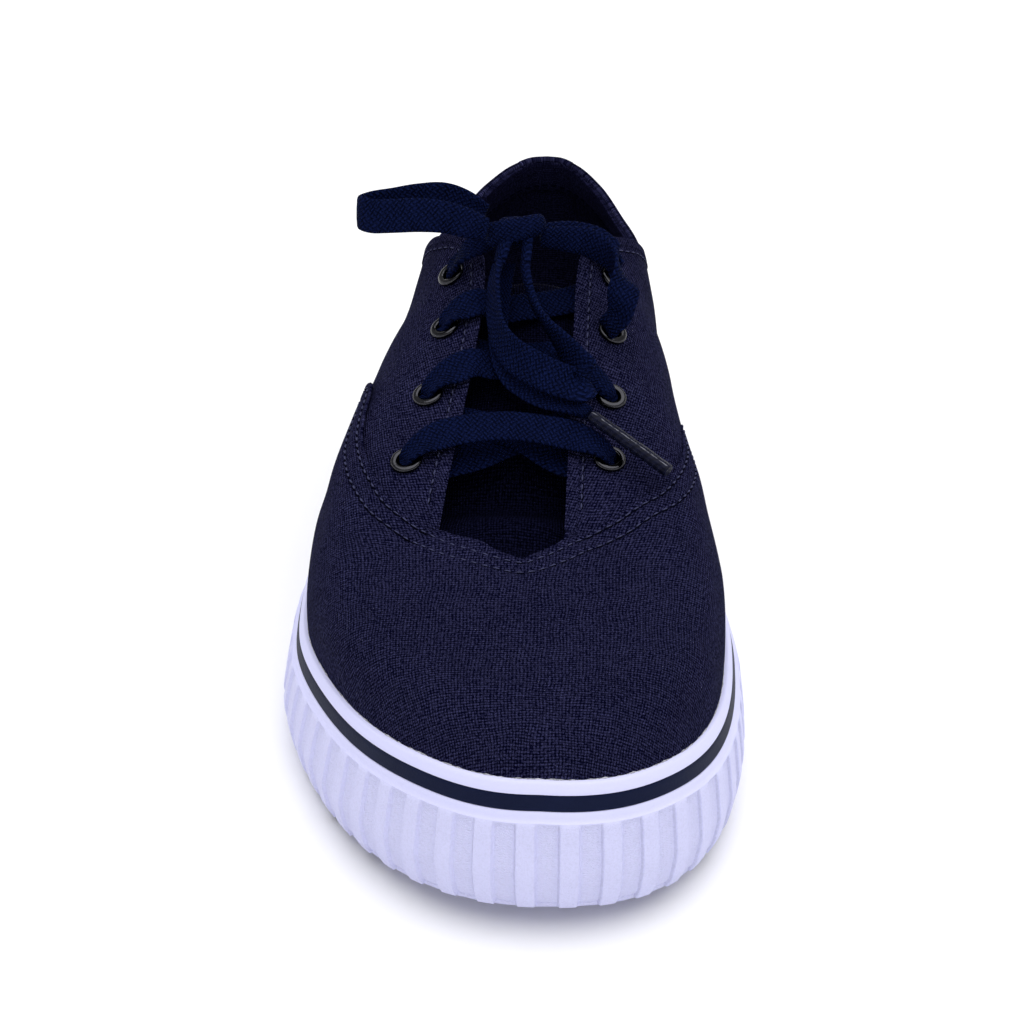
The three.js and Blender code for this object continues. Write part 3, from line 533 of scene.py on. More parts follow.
class Recipe:
    """One material: a Principled shader with constants, and the nodes that feed it."""

    def __init__(self, name, **constants):
        self.material = bpy.data.materials.new(name)
        self.material.use_nodes = True
        self.tree = self.material.node_tree
        self.shader = self.tree.nodes["Principled BSDF"]
        for socket, value in constants.items():
            self.shader.inputs[socket.replace("_", " ")].default_value = value

    def node(self, kind, settings=None, inputs=None, output=0):
        made = self.tree.nodes.new(kind)
        for name, value in (settings or {}).items():
            setattr(made, name, value)
        for name, value in (inputs or {}).items():
            self.feed(made.inputs[name], value)
        return Number(self, made.outputs[output])

    def feed(self, socket, value):
        if isinstance(value, Number):
            self.tree.links.new(value.socket, socket)
        else:
            socket.default_value = value

    def math(self, operation, *terms):
        return self.node("ShaderNodeMath", {"operation": operation}, dict(enumerate(terms)))

    def split(self, output):
        """x, y and z of the piece's own map (UV) or its Object coordinates, in millimetres."""
        place = self.node("ShaderNodeTexCoord", output=output)
        parts = [self.node("ShaderNodeSeparateXYZ", inputs={"Vector": place}, output=i) for i in range(3)]
        return parts if output == "UV" else [part * 1000 for part in parts]

    def vector(self, x, y, z=0.0):
        return self.node("ShaderNodeCombineXYZ", inputs={"X": x, "Y": y, "Z": z})

    def noise(self, x, y, z=0.0, detail=2.0, rough=0.5):
        return self.node("ShaderNodeTexNoise", inputs={
            "Vector": self.vector(x, y, z), "Scale": 1.0, "Detail": detail, "Roughness": rough})

    def mix(self, share, first, second):
        return self.node("ShaderNodeMix", {"data_type": "RGBA"}, {0: share, 6: first, 7: second}, 2)

    def speckle(self, place, scale, **settings):
        """Noise of one scale every way on a place's coordinates."""
        return self.noise(*(part * scale for part in place), **settings)

    def bump(self, height, distance):
        return self.node("ShaderNodeBump", inputs={"Height": height, "Distance": distance, "Strength": 1.0})

    def wear(self, **fed):
        for socket, value in fed.items():
            self.feed(self.shader.inputs[socket.replace("_", " ")], value)
        return self.material


def shade(colour, factor):
    """The colour made lighter or darker, as a socket takes it."""
    return (*(min(part * factor, 1.0) for part in colour), 1.0)


def plain_weave(recipe, u, v, pitch):
    """Height of over-and-under threads, how much of what shows is warp, and chance by crossing."""
    across, along = u * (1 / pitch), v * (1 / pitch)
    column, line = across.called("FLOOR"), along.called("FLOOR")
    warp = (across - column).sine() * ((along + column) * math.pi).ripple()
    weft = (along - line).sine() * ((across + line + 1) * math.pi).ripple()
    crossing = recipe.node("ShaderNodeTexWhiteNoise", {"noise_dimensions": "2D"},
                           {"Vector": recipe.vector(column, line)})
    return warp.called("MAXIMUM", weft), (warp - weft).smooth(-0.1, 0.1), crossing


# Shares of the cloth's colour, red, green and blue, deep between its threads and on top of them: painted
# shade in the gaps and painted light on the tops, mixed with the threads' own tone.
WEAVE_LOW = (0.04, 0.06, 0.30)
WEAVE_HIGH = (3.6, 3.528, 3.168)


def woven(name, colour, pitch, relief_height, slubs=1.0):
    """Plain-woven cotton whose threads vary in thickness and tone, with painted shade in the gaps between
    threads and painted light on their tops, its pitch in millimetres.
    """
    made = Recipe(name, Specular_IOR_Level=0.015)
    u, v, _ = made.split("UV")
    drift = (made.noise(u * 0.09, v * 0.09, detail=1.0) - 0.5) * (2.4 * pitch)
    height, warp, crossing = plain_weave(made, u + drift, v + drift, pitch)
    warp_slub = made.noise(u * (1.1 / pitch), v * 0.10, detail=1.0)
    weft_slub = made.noise(u * 0.10, v * (1.1 / pitch), 7.0, detail=1.0)
    slub = (warp_slub * warp + weft_slub * (1 - warp)).smooth(0.3, 0.72)
    fibre = made.noise(u * 5.5, v * 5.5, 3.0, detail=2.0, rough=0.7)
    patch = made.noise(u * 0.035, v * 0.035, 11.0, detail=3.0)
    speck = made.noise(u * 1.5, v * 1.5, 5.0, detail=1.0).smooth(0.36, 0.64)
    # The threads' height in the tone paints shade in the gaps between threads and light on their tops; slubs,
    # crossings, fibres, patches and specks are the cloth's own tone.
    tone = height * 0.85 + slub * (0.28 * slubs) + crossing * 0.32 + fibre * 0.32 + patch * 0.16 - 0.70
    tone = (tone + (speck - 0.5) * 0.5).limited()
    low, high = ((*(part * share for part, share in zip(colour, shares)), 1.0)
                 for shares in (WEAVE_LOW, WEAVE_HIGH))
    threads = height * (0.5 + slub * 0.3 + crossing * 0.5) + fibre * 0.3
    return made.wear(Base_Color=made.mix(tone, low, high), Roughness=0.86 + fibre * 0.12,
                     Normal=made.bump(threads, relief_height))


def canvas_cloth(colours):
    return woven("canvas_cloth", colours.canvas, 0.76, 0.0008)


def lining_cloth(colours):
    return woven("lining_cloth", colours.lining, 0.6, 0.00022, slubs=1.4)


# The tongue's darker colour paints the shade in the throat.
def tongue_cloth(colours):
    return woven("tongue_cloth", colours.tongue, 0.72, 0.0005, slubs=1.3)


def insole_cloth(colours):
    return woven("insole_cloth", colours.lining, 0.8, 0.00024)


def thread(colours):
    """Twisted sewing thread."""
    made = Recipe("sewing_thread", Specular_IOR_Level=0.08)
    x, y, z = made.split("Object")
    twist = ((x + y + z) * 14.0).ripple()
    fibre = made.speckle((x, y, z), 3)
    base = made.mix(twist * 0.6 + fibre * 0.4, shade(colours.thread, 0.5), shade(colours.thread, 1.7))
    return made.wear(Base_Color=base, Roughness=0.7 + fibre * 0.2, Normal=made.bump(twist, 0.00008))


def stitch_channel(colours):
    """Painted shadow: a dark strip along a row of stitching, where the shade under the stitches falls."""
    made = Recipe("stitch_channel", Specular_IOR_Level=0.0)
    dark = made.speckle(made.split("Object"), 1.5, detail=1.0)
    base = made.mix(dark, shade(colours.canvas, 0.02), shade(colours.canvas, 0.30))
    return made.wear(Base_Color=base, Roughness=0.9 + dark * 0.1)


def lace_braid(colours):
    """Flat braid: strands slant to both sides of the middle and pass over and under, with painted shade
    between the strands and painted light on them.
    """
    made = Recipe("lace_braid", Specular_IOR_Level=0.02)
    u, v, _ = made.split("UV")
    fold = abs(u)
    slant = v * 0.62 + fold * 0.62
    other = v * 0.62 - fold * 0.62
    strand, crossing = slant.sine(), other.sine()
    over = (strand * crossing).smooth(-0.25, 0.25)
    height = (strand * strand) * over + (crossing * crossing) * (1 - over)
    plied = (v * 7.0 + u * 4.0).ripple()
    fibre = made.noise(u * 2.6, v * 2.6, detail=3.0, rough=0.75)
    uneven = made.noise(u * 0.25, v * 0.25, 5.0, detail=2.0)
    # The strands' height in the tone is painted shade between the strands and painted light on them; fibre,
    # ply and unevenness are the lace's own tone.
    tone = height * 0.42 + fibre * 0.95 + plied * 0.2 + uneven * 0.3 - 0.55
    base = made.mix(tone.limited(), shade(colours.lace, 0.1), shade(colours.lace, 3.8))
    return made.wear(Base_Color=base, Roughness=0.8 + fibre * 0.15,
                     Normal=made.bump(height * 0.8 + plied * 0.25 + fibre * 0.5, 0.0006))


RIB_RAISED = 0.478               # share of a rib's pitch that stands proud
RIBS_DOWN = 8.1                  # where the ribs start, below the sidewall's top


def ribbed_rubber(colours):
    """White rubber: stippled ribs with a painted shadow line along one edge of each, and rows of zigzag knurl
    in the recesses.
    """
    made = Recipe("ribbed_rubber", Specular_IOR_Level=0.3)
    pitches, down, _ = made.split("UV")
    place = made.split("Object")
    phase = pitches.called("FRACT")
    ribbed = down.smooth(RIBS_DOWN, RIBS_DOWN + 0.8)
    recess = phase.smooth(RIB_RAISED + 0.04, RIB_RAISED + 0.1) * (1 - phase.smooth(0.95, 0.99)) * ribbed
    zigzag = abs((pitches * 7.6).called("FRACT") - 0.5)
    knurl = abs((down * (1 / 0.6) + zigzag * 1.1).sine())
    stipple = made.speckle(place, 1.9, detail=3.0, rough=0.75)
    cloud = made.speckle(place, 0.06, detail=3.0)
    grime = made.speckle(place, 0.35, detail=4.0, rough=0.65).smooth(0.56, 0.8)
    # A thin darker line where each rib steps down to its recess is painted shadow.
    edge = (1 - abs(phase - RIB_RAISED - 0.03).smooth(0.012, 0.03)) * ribbed
    base = made.mix(grime * 0.15 + cloud * 0.12 + edge * 0.5 + (stipple - 0.5) * (1.1 * ribbed + 0.2),
                    shade(colours.rubber, 1.02), shade(colours.rubber, 0.72))
    height = stipple * (0.3 + ribbed * 1.1) + recess * knurl * 0.5
    return made.wear(Base_Color=base, Roughness=0.5 + stipple * 0.16, Normal=made.bump(height, 0.0002))


def tread_rubber(colours):
    """Finely stippled rubber of the lugged sole, scuffed, and darker in its lowest 1.8 millimetres."""
    made = Recipe("tread_rubber", Specular_IOR_Level=0.3)
    x, y, z = made.split("Object")
    stipple = made.speckle((x, y, z), 1.4, detail=3.0, rough=0.7)
    scuff = made.noise(x * 0.12, y * 0.5, z * 0.5, detail=4.0, rough=0.7).smooth(0.45, 0.8)
    # Darker towards the bottom, over the lowest 1.8 millimetres.
    near_bottom = 1 - z.smooth(0.0, 1.8)
    base = made.mix(scuff * 0.5 + near_bottom * 0.3, shade(colours.rubber, 0.95), shade(colours.rubber, 0.55))
    return made.wear(Base_Color=base, Roughness=0.55 + stipple * 0.2, Normal=made.bump(stipple, 0.0002))


def stripe_rubber(colours):
    made = Recipe("stripe_rubber", Specular_IOR_Level=0.07)
    place = made.split("Object")
    grain = made.speckle(place, 1.6, detail=3.0, rough=0.7)
    cloud = made.speckle(place, 0.12, detail=3.0)
    base = made.mix(cloud * 0.7 + grain * 0.3, shade(colours.stripe, 0.8), shade(colours.stripe, 1.25))
    return made.wear(Base_Color=base, Roughness=0.42 + grain * 0.2, Normal=made.bump(grain, 0.00006))


def dried_glue(colours):
    made = Recipe("dried_glue", Specular_IOR_Level=0.5)
    lumps = made.speckle(made.split("Object"), 0.9, detail=3.0, rough=0.7)
    base = made.mix(lumps.smooth(0.35, 0.65), shade(colours.glue, 0.45), shade(colours.glue, 1.2))
    return made.wear(Base_Color=base, Roughness=0.35 + lumps * 0.3, Normal=made.bump(lumps, 0.0003))


def black_nickel(colours):
    """Polished plating with faint turning marks and dulled patches."""
    made = Recipe("black_nickel", Metallic=1.0)
    haze = made.speckle(made.split("Object"), 0.9, detail=3.0)
    base = made.mix(haze, shade(colours.nickel, 0.8), shade(colours.nickel, 1.3))
    return made.wear(Base_Color=base, Roughness=0.07 + haze * 0.12, Normal=made.bump(haze, 0.00003))


def aglet_film(colours):
    """Clear film rolled over the dark lace end, with a painted highlight along a line of it, where its coat
    is also thicker.
    """
    made = Recipe("aglet_film", Coat_Roughness=0.05, Specular_IOR_Level=0.03)
    u, v, _ = made.split("UV")
    weave = (v * 3.4 + abs(u) * 2.0).ripple()
    cloud = made.noise(u * 0.8, v * 0.4, detail=2.0)
    base = made.mix(weave * 0.45 + cloud * 0.5, shade(colours.film, 0.5), shade(colours.film, 2.2))
    painted_highlight_line = 1 - abs(u - 0.9 + (cloud - 0.5) * 0.8).smooth(0.08, 0.30)
    painted_highlight_line = painted_highlight_line * made.noise(u, v * 0.5).smooth(0.4, 0.55)
    # The light grey mixed in along that line is a painted highlight.
    return made.wear(Base_Color=made.mix(painted_highlight_line * 0.35, base, (0.26, 0.27, 0.34, 1.0)),
                     Coat_Weight=0.05 + painted_highlight_line * 0.6, Roughness=0.22 + cloud * 0.12,
                     Normal=made.bump(cloud, 0.0003))


def floor_paper(colours):
    made = Recipe("floor_paper", Specular_IOR_Level=0.1)
    x, y, _ = made.split("Object")
    grain = made.noise(x * 0.4, y * 0.4, detail=2.0)
    base = made.mix(grain, shade(colours.floor, 1.0), shade(colours.floor, 0.985))
    return made.wear(Base_Color=base, Roughness=0.95 + grain * 0.03)


def material(recipe, colours):
    """The finish that a recipe makes, made once."""
    found = bpy.data.materials.get(recipe.__name__)
    if found is None:
        found = recipe(colours)
        found.name = recipe.__name__
    return found


# ---- sizes and colours -------------------------------------------------------------------
def size(name, description, default):
    return bpy.props.FloatProperty(name=name, description=description, default=default, min=0.0,
                                   precision=5, subtype="DISTANCE", unit="LENGTH")


def paint(name, description, default):
    return bpy.props.FloatVectorProperty(name=name, description=description, default=default,
                                         min=0.0, max=1.0, size=3, subtype="COLOR")


class SneakerSizes(bpy.types.PropertyGroup):
    vamp_cloth: size("Vamp cloth", "Thickness of the vamp's cloth over the quarters", 0.0008)
    outer_cloth: size("Outer cloth", "Thickness of the upper's outer cloth", 0.0014)
    lining_cloth: size("Lining cloth", "Thickness of the lining", 0.00055)
    stitch_pitch: size("Stitch pitch", "Distance from one stitch to the next", 0.0028)
    stitch_thread: size("Stitch thread", "Thickness of the sewing thread", 0.00055)
    rib_pitch: size("Rib pitch", "Distance from one sidewall rib to the next", 0.0092)
    rib_depth: size("Rib depth", "Depth of the recesses between ribs", 0.0007)
    lace_width: size("Lace width", "Width of the flat lace", 0.0085)
    lace_thickness: size("Lace thickness", "Thickness of the flat lace", 0.0013)
    crease_depth: bpy.props.FloatProperty(
        name="Crease depth", description="Strength of the cloth's creases", default=1.0, min=0.0, max=3.0)


class SneakerColours(bpy.types.PropertyGroup):
    canvas: paint("Canvas", "Upper's cloth", (0.0128, 0.0133, 0.0400))
    # The tongue's colour is far darker than the canvas to paint the shade that falls in the throat.
    tongue: paint("Tongue", "Tongue's cloth", (0.0019, 0.0021, 0.0090))
    lining: paint("Lining", "Lining and insole", (0.0045, 0.0047, 0.0170))
    thread: paint("Thread", "Sewing thread", (0.0430, 0.0460, 0.1000))
    lace: paint("Lace", "Flat lace", (0.0018, 0.0036, 0.0190))
    rubber: paint("Rubber", "White rubber", (0.600, 0.605, 0.860))
    stripe: paint("Stripe", "Navy line round the sidewall", (0.0036, 0.0066, 0.0270))
    glue: paint("Glue", "Dried glue at the cloth's edge", (0.420, 0.420, 0.480))
    nickel: paint("Nickel", "Eyelets' plating", (0.036, 0.036, 0.041))
    film: paint("Film", "Film of the lace's tip", (0.0036, 0.0042, 0.0120))
    floor: paint("Floor", "Studio floor", (0.930, 0.930, 0.940))


# ---- camera and stage -------------------------------------------------------------------
CAMERA = {"azimuth": 2.8, "elevation": 28.4, "distance": 525.0, "target": (-2.3, -9.0, 29.0), "lens": 70.31,
          "sensor": 36.0, "near": 0.01}


def place_camera():
    azimuth, elevation = math.radians(CAMERA["azimuth"]), math.radians(CAMERA["elevation"])
    back = Vector((math.sin(azimuth) * math.cos(elevation), -math.cos(azimuth) * math.cos(elevation),
                   math.sin(elevation)))
    data = bpy.data.cameras.new("camera")
    data.lens = CAMERA["lens"]
    data.sensor_width = CAMERA["sensor"]
    data.clip_start = CAMERA["near"]
    camera = bpy.data.objects.new("camera", data)
    camera.location = (Vector(CAMERA["target"]) + CAMERA["distance"] * back) * MM
    camera.rotation_mode = "QUATERNION"
    camera.rotation_quaternion = (-back).to_track_quat("-Z", "Y")
    bpy.context.scene.collection.objects.link(camera)
    bpy.context.scene.camera = camera


# Soft overhead light from a little in front, its strength and the width of its source.
SUN = {"towards": (-0.10, 0.10, -1.0), "strength": 2.6, "width": 75.0}
WORLD_STRENGTH = 0.42


def place_lights():
    data = bpy.data.lights.new("overhead", "SUN")
    data.energy = SUN["strength"]
    data.angle = math.radians(SUN["width"])
    light = bpy.data.objects.new("overhead", data)
    light.location = (0.3, 0.4, 1.3)
    light.rotation_mode = "QUATERNION"
    light.rotation_quaternion = Vector(SUN["towards"]).to_track_quat("-Z", "Y")
    bpy.context.scene.collection.objects.link(light)
    world = bpy.data.worlds.new("studio")
    world.use_nodes = True
    sky = world.node_tree.nodes["Background"].inputs
    sky["Color"].default_value = (1.0, 1.0, 1.0, 1.0)
    sky["Strength"].default_value = WORLD_STRENGTH
    bpy.context.scene.world = world
    bpy.context.scene.view_settings.view_transform = "Standard"


# Floor flat all round the shoe, turned up softly far from it, in metres.
FLOOR = {"size": 10.0, "flat": 1.4, "reach": 2.8, "rise": 1.5, "below": 0.0002}


class SNEAKER_OT_stage(bpy.types.Operator):
    """Camera, soft lights and a plain pale floor"""
    bl_idname = "sneaker.stage"
    bl_label = "Stage"

    def execute(self, context):
        place_camera()
        place_lights()
        bpy.ops.object.select_all(action="DESELECT")
        bpy.ops.mesh.primitive_grid_add(x_subdivisions=90, y_subdivisions=90, size=FLOOR["size"])
        floor = context.object
        floor.name = "floor"
        for vertex in floor.data.vertices:
            away = vertex.co.xy.length
            vertex.co.z = FLOOR["rise"] * ease((away - FLOOR["flat"]) / FLOOR["reach"]) - FLOOR["below"]
        bpy.ops.object.shade_smooth()
        floor.data.materials.append(material(floor_paper, context.scene.sneaker_colours))
        return {"FINISHED"}


# ---- lace ------------------------------------------------------------------------------
# Rows of a lace: x, y, z, the direction of its width, and its width there.
LOOP_LATERAL = (
    (-9.6, 6.5, 101.5, 0.1, 0.4, 0.9, 6.0), (-14.2, 5.0, 103.6, 0.1, 0.4, 0.9, 7.5),
    (-19.6, 4.0, 105.4, 0.05, 0.4, 0.9, 8.0), (-26.1, 4.0, 105.9, 0.0, 0.4, 0.9, 8.5),
    (-32.5, 5.0, 105.2, 0.0, 0.4, 0.9, 8.5), (-35.3, 5.4, 104.9, 0.0, 0.4, 0.9, 8.5),
    (-37.9, 6.0, 104.6, 0.0, 0.4, 0.9, 8.5),
    (-41.2, 8.0, 104.6, 0.0, 0.35, 0.9, 8.5), (-42.1, 11.0, 103.8, 0.0, 0.3, 0.9, 8.5),
    (-39.4, 14.0, 103.9, 0.0, 0.3, 0.9, 8.5), (-33.7, 16.0, 104.3, 0.0, 0.3, 0.9, 8.5),
    (-27.3, 17.0, 105.2, 0.0, 0.3, 0.9, 8.5), (-20.7, 17.5, 105.6, 0.0, 0.3, 0.9, 8.0),
    (-15.5, 17.0, 104.4, 0.0, 0.3, 0.9, 7.0), (-10.2, 15.5, 102.4, 0.0, 0.3, 0.9, 5.0))
LOOP_FRONT = (
    (-6.2, 4.0, 93.8, 0.3, -0.7, 0.6, 4.5), (-7.0, -0.4, 91.3, 0.35, -0.68, 0.64, 6.5),
    (-7.1, -4.9, 87.6, 0.4, -0.62, 0.66, 8.0), (-6.5, -9.8, 84.3, 0.4, -0.5, 0.76, 8.5),
    (-4.8, -16.0, 81.6, 0.38, -0.2, 0.9, 8.5), (-1.1, -21.6, 79.4, 0.3, 0.25, 0.92, 8.5),
    (4.1, -25.8, 78.0, 0.2, 0.5, 0.84, 8.5), (8.9, -28.4, 76.8, 0.1, 0.64, 0.76, 8.5),
    (12.8, -29.8, 76.1, 0.05, 0.7, 0.7, 8.5), (15.6, -30.6, 75.9, 0.0, 0.7, 0.7, 8.5),
    (16.8, -28.8, 76.7, 0.0, 0.68, 0.73, 8.5), (14.2, -23.8, 78.7, 0.1, 0.35, 0.9, 8.5),
    (10.6, -18.2, 80.9, 0.15, -0.25, 0.9, 8.0), (6.7, -12.0, 83.2, 0.1, -0.72, 0.62, 7.0),
    (3.4, -5.5, 85.9, 0.06, -0.84, 0.5, 6.0), (1.4, -0.5, 89.7, 0.04, -0.86, 0.5, 5.0),
    (0.4, 3.2, 93.0, 0.04, -0.86, 0.5, 4.2))
LACE_END = (
    (-4.2, 8.0, 91.6, 1.0, 0.0, 0.0, 4.2), (-4.8, 4.8, 88.5, 1.0, 0.0, 0.0, 4.2),
    (-5.2, 0.9, 85.5, 1.0, 0.0, 0.0, 4.2), (-5.6, -4.0, 82.1, 1.0, 0.0, 0.0, 4.4),
    (-5.6, -9.4, 78.9, 1.0, 0.0, 0.0, 5.2), (-5.1, -11.9, 77.7, 1.0, 0.05, 0.0, 5.6),
    (-4.4, -14.4, 76.6, 1.0, 0.1, 0.05, 6.2), (-2.6, -18.6, 74.8, 0.94, 0.35, 0.2, 7.4),
    (0.4, -22.2, 73.0, 0.75, 0.6, 0.3, 8.5), (2.4, -23.9, 72.4, 0.63, 0.69, 0.33, 8.5),
    (4.0, -25.4, 72.0, 0.5, 0.77, 0.36, 8.5), (7.6, -28.0, 71.6, 0.3, 0.85, 0.4, 8.5),
    (11.2, -30.4, 71.2, 0.25, 0.85, 0.42, 7.0), (14.6, -33.0, 70.8, 0.3, 0.84, 0.42, 4.6),
    (17.5, -35.2, 70.5, 0.4, 0.8, 0.42, 3.0))
AGLET = {"radius": 1.7, "length": 24.0, "gap": 0.8, "tip": (36.3, -48.2, 62.5), "lap": 0.16,
         "flattened": 0.92}
KNOT = {"centre": (-2.6, 12.4, 99.0), "half": (5.4, 4.2, 3.7), "folds": 0.05}
CURL = {"wrap": -0.5, "bow": 0.25, "lacing": 0.2}        # how far a lace's edges turn up
KNOT_WRAP = (
    (-7.0, 15.2, 98.2, 0.0, 0.2, 0.95, 4.6), (-9.2, 11.6, 98.6, 0.0, 0.25, 0.95, 5.6),
    (-8.6, 8.4, 99.4, -0.12, 0.3, 0.93, 6.2), (-5.6, 6.6, 100.6, -0.16, 0.33, 0.92, 6.2),
    (-2.0, 6.2, 101.7, -0.2, 0.35, 0.9, 6.0), (1.4, 7.0, 102.2, -0.15, 0.35, 0.9, 5.8),
    (3.8, 9.2, 102.0, 0.0, 0.3, 0.93, 5.4), (4.0, 12.4, 101.0, 0.0, 0.25, 0.95, 5.0),
    (2.0, 15.4, 99.6, 0.0, 0.2, 0.95, 4.4))
# Ends of the front loop's two layers, on their way in under the wrap.
KNOT_STRANDS = (
    ((-6.2, 4.2, 93.7, 0.3, -0.7, 0.6, 4.6), (-5.6, 5.4, 96.4, 0.5, -0.6, 0.6, 4.8),
     (-4.6, 7.6, 99.4, 0.6, -0.5, 0.6, 4.8)),
    ((0.4, 3.4, 92.9, 0.04, -0.86, 0.5, 4.2), (0.7, 5.2, 95.8, 0.1, -0.8, 0.5, 4.0),
     (0.6, 7.8, 99.2, 0.3, -0.7, 0.5, 4.0)))
UP_THE_SLOPE = (0.0, 0.89, 0.45)
FULL_WIDTH = 8.5
BORE_WIDTH = 3.6


def followed(rows, step):
    """Rows of a lace closer together, on a smooth curve, and how far along each is."""
    rows = np.array(rows, float)
    along = walked(rows[:, :3])
    slope = np.gradient(rows, along, axis=0)
    at = np.linspace(0, along[-1], max(int(along[-1] / step), 8) + 1)
    i = np.clip(np.searchsorted(along, at, side="right") - 1, 0, len(along) - 2)
    span = (along[i + 1] - along[i])[:, None]
    t = (at - along[i])[:, None] / span
    return at, (rows[i] * (1 + 2 * t) * (1 - t) ** 2 + slope[i] * span * t * (1 - t) ** 2
                + rows[i + 1] * t * t * (3 - 2 * t) + slope[i + 1] * span * t * t * (t - 1))


BAND_SIDES, BAND_STEP = 22, 0.8
PINCH = {"thicker": 1.15, "cupped": 1.6}         # where the lace is drawn in to no width
SELVAGE = {"thicker": 0.22, "at": 0.82, "half": 0.13}


def lace_band(name, rows, thickness, curl):
    """Flat lace through its rows; where it is narrow it is folded thicker and cupped."""
    at, line = followed(rows, BAND_STEP)
    centre, width = line[:, :3], line[:, 6]
    along = unit(np.gradient(centre, axis=0))
    across = line[:, 3:6] - np.sum(line[:, 3:6] * along, axis=1, keepdims=True) * along
    across = unit(across)
    face = np.cross(along, across)
    last = len(at) - 1
    edge = np.clip(1 - width / FULL_WIDTH, 0, 1)
    thick = thickness * (1 + PINCH["thicker"] * edge)
    cup = curl + (PINCH["cupped"] if curl >= 0 else -PINCH["cupped"]) * edge

    def place(column, row):
        angle = 2 * math.pi * column / BAND_SIDES
        ring = np.clip(row - 1, 0, last)
        closed = np.where((row == 0) | (row == last + 2), 0.0, 1.0)
        c, s = np.cos(angle), np.sin(angle)
        side = np.sign(c) * np.abs(c) ** 0.62 * closed
        top = np.sign(s) * np.abs(s) ** 0.8 * closed
        selvage = 1 + SELVAGE["thicker"] * np.exp(-((np.abs(side) - SELVAGE["at"]) / SELVAGE["half"]) ** 2)
        x = side * width[ring] / 2
        y = top * selvage * thick[ring] / 2 + cup[ring] * (side ** 2 - 0.35) * closed
        points = centre[ring] + x[:, None] * across[ring] + y[:, None] * face[ring]
        return points, np.column_stack((side * FULL_WIDTH / 2, at[ring]))

    return shaped_grid(name, BAND_SIDES, last + 2, place)


def route_of(rows):
    """Places that a lace's cord passes, in metres."""
    return [tuple(part * MM for part in row[:3]) for row in rows]


def path_length(rows):
    _, line = followed(rows, 0.5)
    return float(walked(line[:, :3])[-1]) * MM


def aglet_tube(name):
    """Film rolled round the lace's end: a lap along it, and a rim at each end."""
    start = np.array(LACE_END[-1][:3])
    along = unit(np.array(AGLET["tip"]) - start)
    across = unit(np.cross(along, (0.0, 0.0, 1.0)))
    face = np.cross(across, along)
    sides, rings = 36, 44

    def place(column, row):
        angle = 2 * math.pi * column / sides
        share = np.clip(row - 1, 0, rings) / rings
        lap = AGLET["lap"] * (np.clip(((angle - 1.9) % (2 * math.pi)) / 0.5, 0, 1) - 1)
        ends = 1 - 0.10 * np.exp(-(share / 0.012) ** 2) - 0.12 * np.exp(-((1 - share) / 0.012) ** 2)
        wave = 0.035 * np.sin(share * 17 + angle) + 0.03 * np.sin(share * 41 - 2 * angle)
        radius = (AGLET["radius"] + lap + wave) * ends
        radius = np.where((row == 0) | (row == rings + 2), 0.0, radius)
        reach = AGLET["gap"] + share * AGLET["length"]
        points = (start + reach[:, None] * along + (radius * np.cos(angle))[:, None] * across
                  + (radius * np.sin(angle))[:, None] * face * AGLET["flattened"])
        return points, np.column_stack((np.cos(angle) * 3, reach))

    return shaped_grid(name, sides, rings + 2, place)


def lump(name, centre, half, ripple):
    """Rounded knot core with folds round it."""
    sides, rings = 40, 28

    def place(column, row):
        angle = 2 * math.pi * column / sides
        tilt = math.pi * row / rings - math.pi / 2
        swell = 1 + ripple * np.sin(3 * angle + 2.2 * tilt) * np.cos(tilt) + ripple * 0.6 * np.sin(7 * tilt)
        shape = np.column_stack((np.sin(tilt), np.cos(tilt) * np.cos(angle), np.cos(tilt) * np.sin(angle)))
        points = np.array(centre) + shape * np.array(half) * swell[:, None]
        return points, np.column_stack((angle * 3, tilt * 6))

    return shaped_grid(name, sides, rings, place)


class SNEAKER_OT_bow(bpy.types.Operator):
    """Free lengths of the lace: two loops, the front end with its tip, and the knot"""
    bl_idname = "sneaker.bow"
    bl_label = "Bow"

    def execute(self, context):
        sizes, colours = context.scene.sneaker_sizes, context.scene.sneaker_colours
        braid = material(lace_braid, colours)
        thickness = sizes.lace_thickness / MM
        parts = [lump("knot_core", KNOT["centre"], KNOT["half"], KNOT["folds"]),
                 lace_band("knot_wrap", KNOT_WRAP, thickness, CURL["wrap"])]
        parts += [lace_band("knot_strand", rows, thickness, CURL["bow"]) for rows in KNOT_STRANDS]
        knot = finished(joined("bow_knot", parts), "lace_cotton", braid, "lace_knot", angle=70)
        tip = finished(aglet_tube("lace_tip"), "aglet_plastic", material(aglet_film, colours), "aglet")
        for name, node, rows, far_end, others in (
                ("bow_loop_lateral", "lace_loop_lateral", LOOP_LATERAL, "object", [knot]),
                ("bow_loop_front", "lace_loop_front", LOOP_FRONT, "object", []),
                ("bow_end_front", "lace_end", LACE_END, "fitting", [tip])):
            piece = lace_band(name, rows, thickness, CURL["bow"])
            finished(piece, "lace_cotton", braid, node, angle=70)
            route = route_of(rows)
            path_length(rows)
        return {"FINISHED"}


def tight(x, y, z, width=FULL_WIDTH, wide=UP_THE_SLOPE):
    return (x, y, z, *wide, width)


# A lace at an eyelet: heights over the ring's seat, then distance out and width at each.
RISING_LIFTS = (-3.6, -0.6, 1.5, 2.7)
SINKING_LIFTS = (0.8, -2.2, -3.6, -4.4)
EYELET_STEPS = ((-0.2, BORE_WIDTH), (0.0, BORE_WIDTH), (0.7, 4.2), (3.0, 5.8))


